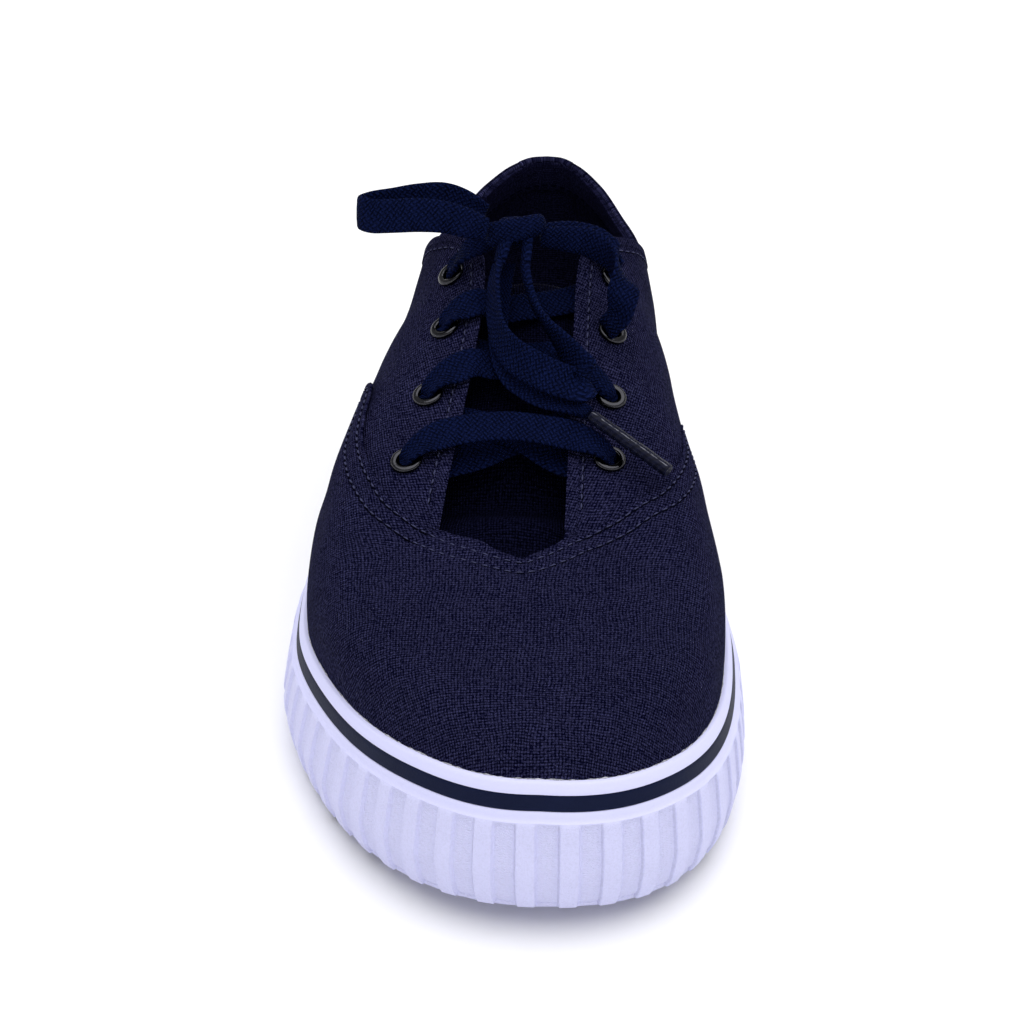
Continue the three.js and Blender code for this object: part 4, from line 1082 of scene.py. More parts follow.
def at_eyelet(side, row, towards, rising):
    """Rows of a lace at an eyelet, from inside its bore to a lift above or below it."""
    centre, normal = EYELETS[side, row]
    reach = np.array(towards, float) - centre
    reach = unit(reach - (reach @ normal) * normal)
    wide = np.cross(normal, reach) if rising >= 0 else np.cross(reach, normal)
    wide = wide * np.sign(wide @ np.array(UP_THE_SLOPE) or 1)
    lifts = RISING_LIFTS if rising >= 0 else SINKING_LIFTS
    return [(*(centre + lift * normal + out * reach), *wide, width)
            for lift, (out, width) in zip(lifts, EYELET_STEPS)]


def from_eyelet(side, row, rows, rising=1):
    return at_eyelet(side, row, rows[0][:3], rising) + list(rows)


def between(first, rows, second, rising=(1, 1)):
    """Lace from one eyelet through rows to another; rising 1 comes up, -1 goes down."""
    start = at_eyelet(*first, rows[0][:3], rising[0])
    end = at_eyelet(*second, rows[-1][:3], rising[1])
    return start + list(rows) + end[::-1]


def lower_cross(side, lift):
    m, other = (1, "medial") if side == "lateral" else (-1, "lateral")
    rows = (tight(-13 * m, -38.5, 58.8), tight(0, -32.5, 61.9 + lift), tight(13 * m, -27.5, 64))
    return between((side, 4), rows, (other, 3), (-1, -1))


def middle_cross(side, lift):
    m, other = (1, "medial") if side == "lateral" else (-1, "lateral")
    rows = (tight(-16.8 * m, -20.8, 74.4), tight(-11.6 * m, -18, 75.6), tight(-6.6 * m, -15.4, 73.8),
            tight(0, -12.2, 72.9 + lift), tight(8 * m, -8.6, 73.2 + lift / 2))
    return between((side, 3), rows, (other, 2), (1, -1))


LACE_BAR = (tight(-19, -39.4, 65.6), tight(-10, -38, 67.4), tight(-1.8, -37.6, 68),
            tight(6.4, -38, 67.4), tight(15.4, -39, 65.8))
UPPER_CROSS = (tight(-15.4, -1.6, 83.3), tight(-11.2, -0.6, 84.7), tight(-6, 1.8, 81.6),
               tight(0, 4.4, 81.4), tight(7, 7.4, 81.2), tight(13, 10, 81.6))
SLACK_ARC = (
    tight(24.4, -6.4, 84, 7.0, (-0.75, 0.5, 0.35)), tight(25.2, -6, 88.4, 8.0, (-0.8, 0.4, 0.4)),
    tight(25.2, -3, 91.8, 8.4, (-0.6, 0.2, 0.75)), tight(23.4, 2, 94.4, 8.4, (-0.3, 0.1, 0.95)),
    tight(20, 6.4, 96.2, 8.0, (-0.1, 0.2, 0.95)), tight(16, 9.4, 97.4, 7.4, (0, 0.3, 0.95)),
    tight(10.4, 11, 97.6, 6.6, (0, 0.3, 0.95)), tight(4.2, 11.6, 97.6, 5.0, (0, 0.3, 0.95)))
TOP_MEDIAL = (
    tight(23.6, 15.6, 90.4, 7.0, (-0.3, 0.8, 0.5)), tight(20, 17, 94, 7.6, (-0.3, 0.6, 0.7)),
    tight(14.6, 17.6, 96, 7.0, (0, 0.4, 0.9)), tight(9.4, 17, 97, 6.0, (0, 0.3, 0.95)),
    tight(3.8, 15.6, 97.4, 4.5, (0, 0.3, 0.95)))
TOP_LATERAL = (
    tight(-17, 12.6, 91, 7.0, (0.3, 0.8, 0.5)), tight(-14, 12.4, 94, 6.4, (0.3, 0.6, 0.7)),
    tight(-8.4, 12.4, 96.4, 4.6, (0.1, 0.4, 0.9)))


class SNEAKER_OT_lacing(bpy.types.Operator):
    """Lace through the eyelets: the bar, the crossings and the lengths to the knot"""
    bl_idname = "sneaker.lacing"
    bl_label = "Lacing"

    def execute(self, context):
        sizes, colours = context.scene.sneaker_sizes, context.scene.sneaker_colours
        braid = material(lace_braid, colours)
        thickness = sizes.lace_thickness / MM
        for name, node, runs in (
                ("lacing_bar", "lace_bar", [between(("lateral", 4), LACE_BAR, ("medial", 4))]),
                ("lacing_cross_lower", "lace_cross_lower",
                 [lower_cross("lateral", 0.0), lower_cross("medial", 1.5)]),
                ("lacing_cross_middle", "lace_cross_middle",
                 [middle_cross("lateral", 1.5), middle_cross("medial", 0.0)]),
                ("lacing_cross_upper", "lace_cross_upper",
                 [between(("lateral", 2), UPPER_CROSS, ("medial", 1), (1, -1))]),
                ("lacing_slack", "lace_slack", [from_eyelet("medial", 2, SLACK_ARC)]),
                ("lacing_top_medial", "lace_top_medial", [from_eyelet("medial", 1, TOP_MEDIAL)]),
                ("lacing_top_lateral", "lace_top_lateral", [from_eyelet("lateral", 1, TOP_LATERAL)])):
            bands = [lace_band(name, rows, thickness, CURL["lacing"]) for rows in runs]
            finished(joined(name, bands), "lace_cotton", braid, node, angle=70)
        return {"FINISHED"}


# ---- eyelets ------------------------------------------------------------------------------
def ring_outline():
    """Ring's closed outline: distance from its axis and height, with a rolled flange."""
    bore, flange, clinch = RING["bore"], RING["flange"], RING["clinch"]
    roll = [(flange - 0.8 + 0.8 * math.cos(a), 0.62 + 0.78 * math.sin(a)) for a in np.linspace(-0.5, 1.5, 9)]
    throat = [(bore + 0.62 - 0.62 * math.sin(a), 0.78 + 0.6 * math.cos(a)) for a in np.linspace(0.1, 1.57, 6)]
    foot = [(bore, -WALL - 0.4), (bore + 0.3, -WALL - 1.1), (clinch, -WALL - 1.0), (clinch, -WALL - 0.6),
            (bore + 0.5, -WALL - 0.3), (bore + 0.5, 0.15)]
    return roll + throat + foot


def eyelet_ring(name, centre, normal):
    outline = np.array(ring_outline() + ring_outline()[:1])
    sides = 40
    across = unit(np.cross(normal, (0.0, 0.0, 1.0)))
    other = np.cross(normal, across)

    def place(column, row):
        angle = 2 * math.pi * column / sides
        radius, height = outline[row, 0], outline[row, 1]
        points = (centre + (radius * np.cos(angle))[:, None] * across
                  + (radius * np.sin(angle))[:, None] * other + height[:, None] * normal)
        return points, np.column_stack((angle, height))

    return shaped_grid(name, sides, len(outline) - 1, place)


class SNEAKER_OT_eyelets(bpy.types.Operator):
    """Eight plated eyelets"""
    bl_idname = "sneaker.eyelets"
    bl_label = "Eyelets"

    def execute(self, context):
        plating = material(black_nickel, context.scene.sneaker_colours)
        for (side, row), (centre, normal) in EYELETS.items():
            ring = eyelet_ring(f"eyelet_ring_{side}_{row}", centre, normal)
            finished(ring, "eyelet_metal", plating, f"eyelet_{side}_{row}")
        return {"FINISHED"}


# ---- upper --------------------------------------------------------------------------------
PUNCH_DEPTH = 0.009              # in metres


def punch_holes(piece):
    """Cuts the eyelets' holes through the cloth."""
    punches = []
    for centre, normal in EYELETS.values():
        bpy.ops.object.select_all(action="DESELECT")
        bpy.ops.mesh.primitive_cylinder_add(
            vertices=24, radius=RING["hole"] * MM, depth=PUNCH_DEPTH, location=centre * MM,
            rotation=Vector(normal).to_track_quat("Z", "Y").to_euler())
        punches.append(bpy.context.object)
    punch = joined("punch", punches)
    only(punch)
    bpy.ops.object.transform_apply(location=True, rotation=True, scale=True)
    applied(piece, "BOOLEAN", operation="DIFFERENCE", object=punch, solver="EXACT")
    bpy.data.objects.remove(punch)


UPPER_SHARES = spaced((-1.0, -0.1, 5), (-0.1, 0.1, 8), (0.1, 0.975, 56))
LINING_SHARES = spaced((-0.95, 0.0, 6), (0.0, 0.98, 34))


def upper_path(depth, top):
    """Path from the feather edge to the top edge, its middle at a depth under the face."""
    return lambda turn, share: steady(turn, np.where(share >= 1, top, share), depth)


class SNEAKER_OT_upper(bpy.types.Operator):
    """Upper's outer cloth and its lining"""
    bl_idname = "sneaker.upper"
    bl_label = "Upper"

    def execute(self, context):
        sizes, colours = context.scene.sneaker_sizes, context.scene.sneaker_colours
        outer, inner = sizes.outer_cloth / MM, sizes.lining_cloth / MM
        upper = last_sheet("upper_cloth", RING_TURNS, [*UPPER_SHARES, 1.0], upper_path(-outer / 2, 1.0),
                           outer, True, sizes.crease_depth)
        punch_holes(upper)
        finished(upper, "canvas", material(canvas_cloth, colours), "upper")
        lining = last_sheet("lining", RING_TURNS[::2], [*LINING_SHARES, 1.0],
                            upper_path(-WALL + inner / 2, 0.985), inner, True, sizes.crease_depth)
        punch_holes(lining)
        finished(lining, "lining", material(lining_cloth, colours))
        return {"FINISHED"}


# Vamp's edge; the inner side's turns count back from nought.
VAMP_EDGE = Table(
    "turn up",
    (-98, -0.10), (-95, 0.06), (-91, 0.20), (-87, 0.33), (-83, 0.42), (-80, 0.45), (-76, 0.48),
    (-72, 0.52), (-67, 0.575), (-61, 0.66), (-57, 0.735),
    (-51, 0.83), (-46, 0.92), (-41, 0.97), (-35, 0.99), (0, 1.0), (38, 1.0), (42, 0.985),
    (46, 0.94), (49, 0.89), (55, 0.78), (60, 0.71), (66, 0.63), (73, 0.57), (78, 0.55),
    (84, 0.53), (89, 0.42), (93, 0.24), (96, 0.08), (99, -0.10))
VAMP_TURNS = spaced((-98, -80, 26), (-80, -36, 70), (-36, 36, 96), (36, 80, 70), (80, 99, 26))
VAMP_ROWS = spaced((0.0, 0.84, 44), (0.84, 1.0, 26))
VAMP_STITCHES = (("stitches_vamp_edge", 1.6), ("stitches_vamp_second", 5.6))
CHANNEL = {"depth": 0.42, "half": 0.75, "settled": 0.6}
VAMP_LOWER = -0.09
VAMP_LIFT = {"from": 52.0, "to": 72.0, "height": 0.55, "share": 0.72, "inner_side": 0.15}
VAMP_LIP = {"height": 0.7, "more": 1.9, "at": 27.0, "reach": 11.0}      # over the throat's lower end
VAMP_SUNK = 0.45                 # at the inner side's upper corner


def vamp_top(turn):
    return VAMP_EDGE.many("up", signed(turn))


def vamp_path(thickness):
    def path(turn, share):
        edge = vamp_top(turn)
        from_toe = np.abs(signed(turn))
        inner = turn % 360 > 180
        lift = ease((from_toe - VAMP_LIFT["from"]) / (VAMP_LIFT["to"] - VAMP_LIFT["from"]))
        lift = lift * ease((share - VAMP_LIFT["share"]) / (1 - VAMP_LIFT["share"])) * VAMP_LIFT["height"]
        lift = lift * np.where(inner, VAMP_LIFT["inner_side"], 1.0) * ease((edge - 0.1) / 0.3)
        up = VAMP_LOWER + share * (np.maximum(edge, VAMP_LOWER + 0.002) - VAMP_LOWER)
        lip = VAMP_LIP["height"] + VAMP_LIP["more"] * np.exp(
            -((signed(turn) - VAMP_LIP["at"]) / VAMP_LIP["reach"]) ** 2)
        beyond = lip * share ** 12 * (1 - ease((from_toe - 38) / 6))
        sunk = VAMP_SUNK * ease((from_toe - 73) / 8) * ease((share - 0.6) / 0.4) * inner
        return up, 0.05 + thickness / 2 + lift - sunk, beyond, np.zeros(len(turn))
    return path


def vamp_stitch_line(reach, count):
    """Turn and up of a row of stitches inside the vamp's edge."""
    turns = np.linspace(-92, 93, count)
    return line_inside(turns, vamp_top(turns), reach)


class SNEAKER_OT_vamp(bpy.types.Operator):
    """Vamp: the front panel, sewn over the quarters"""
    bl_idname = "sneaker.vamp"
    bl_label = "Vamp"

    def execute(self, context):
        sizes, colours = context.scene.sneaker_sizes, context.scene.sneaker_colours
        thickness = sizes.vamp_cloth / MM
        channels = [face_at(*vamp_stitch_line(reach, 130)) for _, reach in VAMP_STITCHES]
        vamp = last_sheet("vamp", VAMP_TURNS, VAMP_ROWS, vamp_path(thickness), thickness, False,
                          sizes.crease_depth, channels)
        finished(vamp, "canvas", material(canvas_cloth, colours))
        return {"FINISHED"}


HEEL_PATCH = {"from": 167.2, "to": 192.8, "thick": 0.5, "lower_up": -0.06, "inner_up": 0.80,
              "roll": 1.22, "middle": -0.93, "creases": 0.6}
EDGE_FOLD = {"from": 43.5, "to": 168.8, "width": 2.9, "thick": 0.45, "stitch": 3.5}
COLLAR_STRIP = {"from": 99.5, "to": 260.5, "width": 9.0, "thick": 0.6}


def heel_path(turn, share):
    """Up the outside (share to 0.7), over the top edge (to 0.85), and down the inside."""
    roll, low = HEEL_PATCH["roll"], HEEL_PATCH["lower_up"]
    bend = ease((share - 0.7) / 0.15) * math.pi
    up = np.where(share < 0.7, low + (1 - low) * share / 0.7, 1.0)
    up = np.where(share > 0.85, 1 - (1 - HEEL_PATCH["inner_up"]) * (share - 0.85) / 0.15, up)
    return up, HEEL_PATCH["middle"] + roll * np.cos(bend), 0.35 * roll * np.sin(bend), bend


def strip_up(turn, reach):
    """Up of the place a distance down the face from the top edge."""
    ups = np.linspace(1, 0.5, 26)
    down = each(turn, 4, lambda one: walked(face_at(np.full(26, one), ups)))
    return np.array([np.interp(one, row, ups) for one, row in zip(reach, down)])


def collar_path(turn, share):
    reach = (1 - share) * COLLAR_STRIP["width"] + 0.6
    return steady(turn, strip_up(turn, reach), -WALL - 0.05 - COLLAR_STRIP["thick"] / 2)


def fold_path(turn, share):
    reach = (1 - share) * EDGE_FOLD["width"] + 0.05
    return steady(turn, strip_up(turn, reach), EDGE_FOLD["thick"] / 2 - 0.08, 0.3)


class SNEAKER_OT_heel(bpy.types.Operator):
    """Cloth folded over along the throat and the collar, the heel patch and the inner strip"""
    bl_idname = "sneaker.heel"
    bl_label = "Heel and collar"

    def execute(self, context):
        sizes, colours = context.scene.sneaker_sizes, context.scene.sneaker_colours
        strip = last_sheet("collar_strip", spaced((COLLAR_STRIP["from"], COLLAR_STRIP["to"], 220)),
                           spaced((0.0, 0.08, 1), (0.08, 1.0, 9)), collar_path, COLLAR_STRIP["thick"],
                           False, sizes.crease_depth)
        finished(strip, "lining", material(lining_cloth, colours))
        first, last = EDGE_FOLD["from"], EDGE_FOLD["to"]
        for side, stretch in (("lateral", (first, last)), ("medial", (360 - last, 360 - first))):
            fold = last_sheet(f"edge_fold_{side}", spaced((*stretch, 200)),
                              spaced((0.0, 0.1, 1), (0.1, 1.0, 7)), fold_path, EDGE_FOLD["thick"],
                              False, sizes.crease_depth)
            finished(fold, "canvas", material(canvas_cloth, colours))
        patch = last_sheet("heel_patch", spaced((HEEL_PATCH["from"], HEEL_PATCH["to"], 40)),
                           spaced((0.0, 0.7, 34), (0.7, 0.85, 10), (0.85, 1.0, 9)), heel_path,
                           HEEL_PATCH["thick"], False, HEEL_PATCH["creases"])
        finished(patch, "canvas", material(canvas_cloth, colours))
        return {"FINISHED"}


# ---- stitches -----------------------------------------------------------------------------
STITCH = {"share": 0.74, "sides": 6, "rings": 5, "proud": 0.10, "sway": 0.06}
# Dark strip of painted shadow under each row of stitches: its length share, how far it sits proud, how far
# aside, and how much thicker than the thread.
STITCH_SHADOW = {"share": 1.08, "proud": -0.03, "aside": 0.26, "thicker": 1.25}
SEED = 7


def stitch_shape():
    """Capsule a unit long and wide, on its side."""
    sides, rings = STITCH["sides"], STITCH["rings"]
    swell = np.sin(np.linspace(0.18, math.pi - 0.18, rings)) ** 0.45
    points = [(-0.5, 0.0, -0.4)]
    for i in range(rings):
        x = -0.5 + (i + 0.5) / rings
        sag = -0.9 * abs(x) ** 2
        for j in range(sides):
            angle = 2 * math.pi * j / sides
            points.append((x, 0.5 * swell[i] * math.cos(angle), 0.5 * swell[i] * math.sin(angle) + sag))
    points.append((0.5, 0.0, -0.4))
    faces = [(0, 1 + (j + 1) % sides, 1 + j) for j in range(sides)]
    for i in range(rings - 1):
        first, second = 1 + i * sides, 1 + (i + 1) * sides
        for j in range(sides):
            k = (j + 1) % sides
            faces.append((first + j, first + k, second + k, second + j))
    last, end = 1 + (rings - 1) * sides, len(points) - 1
    faces += [(end, last + j, last + (j + 1) % sides) for j in range(sides)]
    return np.array(points), faces


def stitch_shadow_row(name, line, normals, pitch, thickness, colours):
    """Strip of painted shadow under a row of stitches, a little to its lower side."""
    ahead = unit(np.gradient(line, axis=0))
    aside = unit(np.cross(normals, ahead))
    aside = aside * np.where(aside[:, 2] > 0, -1, 1)[:, None]
    stitch_row(name, line + STITCH_SHADOW["aside"] * thickness * aside, normals, pitch,
               STITCH_SHADOW["thicker"] * thickness, material(stitch_channel, colours), form=STITCH_SHADOW)


def stitch_row(name, line, normals, pitch, thickness, material_used, slot="canvas", form=STITCH):
    """Stitches along a line on a face, each lying on it and dipping in at its ends."""
    shape, faces = stitch_shape()
    along = walked(line)
    count = max(int(along[-1] / pitch), 1)
    chance = random.Random(SEED + len(name))
    points, all_faces = [], []
    for i in range(count):
        s = (i + 0.5) * along[-1] / count
        ends = [np.array([np.interp(s + d, along, line[:, k]) for k in range(3)])
                for d in (-0.5 * pitch, 0.5 * pitch)]
        normal = unit(np.array([np.interp(s, along, normals[:, k]) for k in range(3)]))
        forward = unit(ends[1] - ends[0])
        across = np.cross(normal, forward)
        forward = unit(forward + chance.uniform(-STITCH["sway"], STITCH["sway"]) * across)
        across = unit(np.cross(normal, forward))
        long = form["share"] * pitch * chance.uniform(0.93, 1.05)
        middle = (ends[0] + ends[1]) / 2 + form["proud"] * normal
        placed = (middle + shape[:, :1] * long * forward + shape[:, 1:2] * thickness * across
                  + shape[:, 2:] * thickness * normal)
        start = len(points)
        points.extend(map(tuple, placed * MM))
        all_faces.extend(tuple(start + k for k in face) for face in faces)
    mesh = bpy.data.meshes.new(name)
    mesh.from_pydata(points, [], all_faces)
    piece = bpy.data.objects.new(name, mesh)
    bpy.context.scene.collection.objects.link(piece)
    close_up(piece)
    return finished(piece, slot, material_used, angle=80)


def line_inside(turn, up, reach):
    """Places at a distance from a line on the face, to its lower side."""
    points = face_at(turn, up)
    normal, _ = directions(turn, np.clip(up, -1, 0.98))
    ahead = unit(np.gradient(points, axis=0))
    inwards = unit(np.cross(normal, ahead))
    inwards = inwards * np.where(np.sum(inwards * directions(turn, up)[1], axis=1) > 0, -1, 1)[:, None]
    return settle(points + reach * inwards, turn, np.clip(up, 0, 0.97))


def on_face(turn, up, depth, creases):
    points = face_at(turn, up)
    normal, _ = directions(turn, up)
    return points + (depth + relief(points, up, creases))[:, None] * normal, normal


class SNEAKER_OT_stitches(bpy.types.Operator):
    """Rows of stitching on the vamp, the facings, the collar and the heel"""
    bl_idname = "sneaker.stitches"
    bl_label = "Stitching"

    def execute(self, context):
        sizes, colours = context.scene.sneaker_sizes, context.scene.sneaker_colours
        pitch, thickness = sizes.stitch_pitch / MM, sizes.stitch_thread / MM
        cotton = material(thread, colours)
        creases = sizes.crease_depth
        vamp_face = vamp_path(sizes.vamp_cloth / MM)

        # Each row gets a dark strip of painted shadow under it.
        def row_with_stitch_shadow(name, turn, up, lift):
            points, normals = on_face(turn, up, lift, creases)
            stitch_row(name, points, normals, pitch, thickness, cotton)
            stitch_shadow_row(f"{name}_channel", points, normals, pitch, thickness, colours)

        for name, reach in VAMP_STITCHES:
            turn, up = vamp_stitch_line(reach, 260)
            share = (up - VAMP_LOWER) / np.maximum(vamp_top(turn) - VAMP_LOWER, 0.01)
            lift = vamp_face(turn, np.clip(share, 0, 1))[1] + sizes.vamp_cloth / MM / 2
            row_with_stitch_shadow(name, turn, up, lift - CHANNEL["settled"] * CHANNEL["depth"])
        for side, sign in (("lateral", 1), ("medial", -1)):
            for name, first, last, count in (("facing", 49, 97, 90), ("collar", 98.5, 165.5, 160)):
                turn, up = line_inside(sign * np.linspace(first, last, count), np.full(count, 1.0),
                                       EDGE_FOLD["stitch"])
                row_with_stitch_shadow(f"stitches_{name}_{side}", turn, up, 0.0)
            for name, inside in (("outer", 1.4), ("inner", 3.0)):
                turn = np.full(40, sign * (HEEL_PATCH["from"] + inside))
                points, normals = on_face(turn, np.linspace(0.02, 0.96, 40), 0.62, HEEL_PATCH["creases"])
                stitch_row(f"stitches_heel_{side}_{name}", points, normals, pitch, thickness, cotton)
        turn = np.linspace(COLLAR_STRIP["from"] + 1.5, COLLAR_STRIP["to"] - 1.5, 200)
        up = strip_up(turn, np.full(200, COLLAR_STRIP["width"] - 0.8))
        points, normals = on_face(turn, up, -WALL - 0.7, creases)
        stitch_row("stitches_collar_inside", points, -normals, pitch, thickness,
                   material(lining_cloth, colours), "lining")
        return {"FINISHED"}


# ---- tongue and insole -----------------------------------------------------------------------
TONGUE = Table(
    "y z half drop middle",
    (-90, 43.5, 21, 2.5, -0.3), (-76, 44.6, 23, 3, -0.3), (-62, 46.4, 25, 4, -0.8),
    (-44, 53, 27, 5.5, -0.3), (-26, 62, 27, 7, 0.2), (-8, 71.6, 25, 8, 0.7),
    (6, 79.4, 23, 8.5, 1.2), (15, 84.6, 21, 8.5, 1.7))
TONGUE_THICK = 2.6
TONGUE_TOP = {"round": 5.0, "narrowed": 0.16}
TONGUE_STITCHES = 0.84           # their place, as a share of the half width
INSOLE = {"inset": 6.4, "thick": 3.6, "cup": 2.6}
# Soft folds: place along and across, reach each way, and height.
TONGUE_FOLDS = (
    (-66, -8, 5, 12, 0.8), (-60, 6, 4, 10, -0.9), (-52, -2, 4, 16, 0.6), (-22, 0, 5, 20, -0.5),
    (-30, 8, 5, 10, 0.5), (0, -6, 4, 12, -0.5), (10, 4, 4, 14, 0.4), (-54, 0, 4, 11, 1.5),
    (-40, 0, 8, 40, -7.5))


def tongue_face(y, share):
    half = TONGUE.many("half", y)
    x = TONGUE.many("middle", y) + share * half
    z = TONGUE.many("z", y) - TONGUE.many("drop", y) * share ** 2
    for at_y, at_x, reach_y, reach_x, height in TONGUE_FOLDS:
        z = z + height * np.exp(-((y - at_y) / reach_y) ** 2 - ((x - at_x) / reach_x) ** 2)
    return np.column_stack((x, y, z))


def tongue_mesh():
    columns, rows = 64, 104
    first, last = TONGUE.key[0], TONGUE.key[-1]
    total = 2 * columns

    def place(column, row):
        share_along = row / rows
        y = first + (last - first) * share_along
        top = column <= columns
        sweep = np.where(top, column / columns, (total - column) / columns)
        share = -np.cos(math.pi * sweep)
        round_edge = np.sqrt(np.clip(1 - share ** 2, 0, 1)) ** 0.35
        ends = np.clip(np.minimum(row, rows - row) / 3, 0, 1) ** 0.5
        corner = np.clip((y - last) / TONGUE_TOP["round"] + 1, 0, 1)
        share = share * (1 - TONGUE_TOP["narrowed"] * corner ** 2)
        half = TONGUE_THICK / 2 * round_edge * ends * np.where(top, 1, -1)
        pitch = np.arctan(TONGUE.many("z", y) - TONGUE.many("z", y - 1))
        square = np.column_stack((np.zeros(len(y)), -np.sin(pitch), np.cos(pitch)))
        points = tongue_face(y, share) + (half - TONGUE_THICK / 2)[:, None] * square
        return points, np.column_stack((points[:, 0], (y - first) * 1.12))

    return shaped_grid("tongue_cloth", total, rows, place)


def insole_mesh():
    """Insole from side to side, its edge turned up against the lining."""
    columns, rows = 48, 150

    def place(column, row):
        turn = 1.0 + 178.0 * row / rows
        inset = np.full(len(turn), -INSOLE["inset"])
        lateral, medial = (rims(one, inset, np.zeros(len(turn))) for one in (turn, 360 - turn))
        share = -np.cos(math.pi * column / columns)
        points = (lateral + medial) / 2 + share[:, None] * (medial - lateral) / 2
        edge = np.minimum(1, np.abs(share) ** 8 + np.exp(-row / 3) + np.exp(-(rows - row) / 3))
        points[:, 2] = sole_heights("bed", points[:, 1]) + GAP + INSOLE["thick"] + INSOLE["cup"] * edge
        return points, points[:, :2].copy()

    return shaped_grid("insole_cloth", columns, rows, place)


class SNEAKER_OT_inside(bpy.types.Operator):
    """Tongue with its stitched edge, and the cupped insole"""
    bl_idname = "sneaker.inside"
    bl_label = "Tongue and insole"

    def execute(self, context):
        sizes, colours = context.scene.sneaker_sizes, context.scene.sneaker_colours
        finished(tongue_mesh(), "canvas", material(tongue_cloth, colours), "tongue")
        cotton = material(thread, colours)
        y = np.linspace(-70, 12, 120)
        for side, sign in (("lateral", -1), ("medial", 1)):
            points = tongue_face(y, np.full(120, TONGUE_STITCHES * sign))
            normals = np.tile((0.2 * sign, -0.45, 0.87), (120, 1))
            stitch_row(f"stitches_tongue_{side}", points, normals, sizes.stitch_pitch / MM,
                       sizes.stitch_thread / MM, cotton)
        insole = insole_mesh()
        applied(insole, "SOLIDIFY", thickness=INSOLE["thick"] * MM, offset=-1.0)
        close_up(insole)
        finished(insole, "lining", material(insole_cloth, colours), "insole")
        return {"FINISHED"}


# ---- rubber ---------------------------------------------------------------------------------
# Smooth band below the sidewall's top edge: distance down, and how far out of the outline.
BAND = ((0.0, -4.5), (0.0, -3.8), (0.2, -3.45), (0.6, -3.2), (1.4, -2.8), (2.15, -2.42), (2.35, -2.4),
        (2.5, -2.75), (5.9, -2.0), (6.05, -1.55), (6.2, -1.42), (7.2, -1.2), (7.7, -1.0), (7.95, -0.7),
        (8.1, -0.35))
STRIPE = ((2.45, -2.9), (2.45, -2.45), (2.62, -2.3), (3.4, -2.12), (4.6, -1.84), (5.75, -1.6),
          (5.95, -1.72), (5.95, -2.2))
GLUE_BEAD = ((-0.12, -4.75), (-0.08, -4.45), (0.12, -4.35), (0.5, -4.4), (0.6, -5.2), (0.1, -5.3))
RIB_OUT = Table("share out", (0.0, -0.35), (0.12, -0.05), (0.45, 0.0), (0.84, -1.1), (1.0, -2.7))
RIB_ROWS = 30
RIB_EDGE, RIB_ENDS = 0.06, 0.47  # width of a rib's edge, and where its second one starts
RECESS_FOOT = 0.8                # how far short of the ribs a recess stops
RIB_COLUMNS = (0.0, 0.03, 0.06, 0.17, 0.30, 0.42, 0.47, 0.50, 0.53, 0.66, 0.80, 0.93, 0.965)


def sidewall_top(turn):
    return SIDEWALL_TOP.many("z", folded(turn))


def drawn_in(turn):
    """How much further than BAND_INSET the sidewall's band is drawn in at each turn."""
    lateral, medial = (TOP_INSET.many(side, folded(turn)) for side in ("lateral", "medial"))
    return np.where(turn > 180, medial, lateral) - BAND_INSET


def ring_columns(pitch):
    """Turn and rib phase of each column; the last is the first again."""
    turns, gone = walk_round()
    ribs = round(gone[-1] / pitch)
    phase = np.array([i + share for i in range(ribs) for share in RIB_COLUMNS] + [ribs])
    return np.interp(phase / ribs * gone[-1], gone, turns), phase


def rib_height(phase):
    """1 on a rib, 0 in a recess, by its place in the pitch."""
    share = phase % 1
    return np.where(share < RIB_ENDS / 2, ease(share / RIB_EDGE), 1 - ease((share - RIB_ENDS) / RIB_EDGE))


def sidewall_mesh(pitch, depth):
    turns, phase = ring_columns(pitch)
    band = np.array(BAND)
    rows = len(band) + RIB_ROWS + 3

    def place(column, row):
        turn = turns[column]
        y = on_outline(turn)[:, 1]
        top, lean = sidewall_top(turn), drawn_in(turn)
        lower, feather = sole_heights("under", y) + SOLE_LIFT, sole_heights("bed", y) + GAP
        ribs_top = top - RIBS_DOWN
        row = np.where(row == rows, 0, row)
        index = np.clip(row, 0, len(band) - 1)
        share = np.clip((row - len(band) + 1) / RIB_ROWS, 0, 1)
        recess = 1 - rib_height(phase[column])
        ribs_out = (RIB_OUT.many("out", share) - depth * recess * ease(share / 0.05)
                    - lean * np.clip(1 - share / RIBS_LEAN, 0, 1))
        ribs_z = ribs_top + (lower - ribs_top) * share + recess * RECESS_FOOT * ease((share - 0.9) / 0.1)
        inner = row - len(band) - RIB_ROWS
        parts = (row < len(band), inner < 0, inner == 0, inner == 1)
        behind = GAP - FEATHER_INSET
        out = np.select(parts, (band[index, 1] - lean, ribs_out, behind, behind), -4.5 - lean)
        z = np.select(parts, (top - band[index, 0], ribs_z, lower, feather), top - 3.5)
        return rims(turn, out, z), np.column_stack((phase[column], top - z))

    return shaped_grid("sidewall_ribbed", len(turns) - 1, rows, place)


def ring_band(name, profile, wobble=0.0):
    """Ring whose profile is (down, out) from the sidewall's top edge."""
    turns = np.linspace(0, 360, 541)
    profile = np.array([*profile, profile[0]])

    def place(column, row):
        turn = turns[column % 540]
        uneven = wobble * (np.sin(turn * 0.9) + np.sin(turn * 2.3 + 1) + 0.8 * np.sin(turn * 5.1 + row))
        points = rims(turn, profile[row, 1] + 0.4 * uneven - drawn_in(turn),
                      sidewall_top(turn) - profile[row, 0] + uneven)
        return points, np.column_stack((turn * 1.6, profile[row, 0]))

    return shaped_grid(name, 540, len(profile) - 1, place)


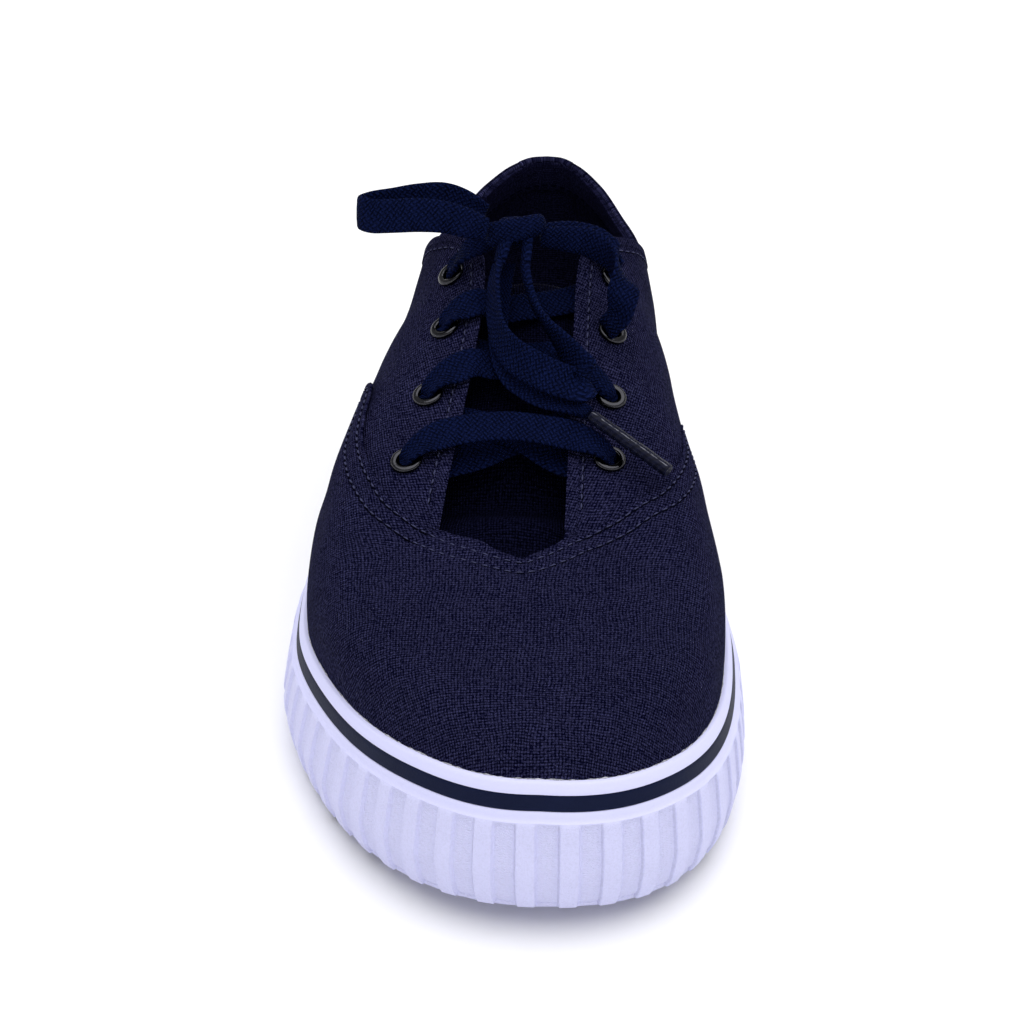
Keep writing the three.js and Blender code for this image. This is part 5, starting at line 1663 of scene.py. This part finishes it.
class SNEAKER_OT_rubber(bpy.types.Operator):
    """Ribbed sidewall with its navy line and the glue at the cloth's edge, and the sole"""
    bl_idname = "sneaker.rubber"
    bl_label = "Rubber"

    def execute(self, context):
        sizes, colours = context.scene.sneaker_sizes, context.scene.sneaker_colours
        wall = sidewall_mesh(sizes.rib_pitch / MM, sizes.rib_depth / MM)
        finished(wall, "sidewall_rubber", material(ribbed_rubber, colours), "sidewall", angle=35)
        stripe = ring_band("sidewall_line", STRIPE)
        finished(stripe, "sidewall_rubber", material(stripe_rubber, colours), angle=35)
        glue = ring_band("glue_line", GLUE_BEAD, wobble=0.07)
        finished(glue, "sidewall_rubber", material(dried_glue, colours))
        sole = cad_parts["outsole"]
        sole.data.materials.clear()
        sole.data.materials.append(material(tread_rubber, colours))
        return {"FINISHED"}


class SNEAKER_PT_pieces(bpy.types.Panel):
    bl_label = "Sneaker"
    bl_idname = "SNEAKER_PT_pieces"
    bl_space_type = "VIEW_3D"
    bl_region_type = "UI"
    bl_category = "Sneaker"

    def draw(self, context):
        for operator in OPERATORS:
            self.layout.operator(operator.bl_idname)
        for group in (context.scene.sneaker_sizes, context.scene.sneaker_colours):
            box = self.layout.box()
            for name in group.__annotations__:
                box.prop(group, name)


OPERATORS = (SNEAKER_OT_stage, SNEAKER_OT_bow, SNEAKER_OT_lacing, SNEAKER_OT_eyelets, SNEAKER_OT_upper,
             SNEAKER_OT_vamp, SNEAKER_OT_heel, SNEAKER_OT_stitches, SNEAKER_OT_inside, SNEAKER_OT_rubber)
CLASSES = (SneakerSizes, SneakerColours, *OPERATORS, SNEAKER_PT_pieces)


def register():
    for one in CLASSES:
        bpy.utils.register_class(one)
    bpy.types.Scene.sneaker_sizes = bpy.props.PointerProperty(type=SneakerSizes)
    bpy.types.Scene.sneaker_colours = bpy.props.PointerProperty(type=SneakerColours)


def unregister():
    del bpy.types.Scene.sneaker_colours
    del bpy.types.Scene.sneaker_sizes
    for one in reversed(CLASSES):
        bpy.utils.unregister_class(one)


def main():
    register()
    bpy.ops.sneaker.stage()
    bpy.ops.sneaker.bow()
    bpy.ops.sneaker.lacing()
    bpy.ops.sneaker.eyelets()
    bpy.ops.sneaker.upper()
    bpy.ops.sneaker.vamp()
    bpy.ops.sneaker.heel()
    bpy.ops.sneaker.stitches()
    bpy.ops.sneaker.inside()
    bpy.ops.sneaker.rubber()


if __name__ == "__main__":
    main()
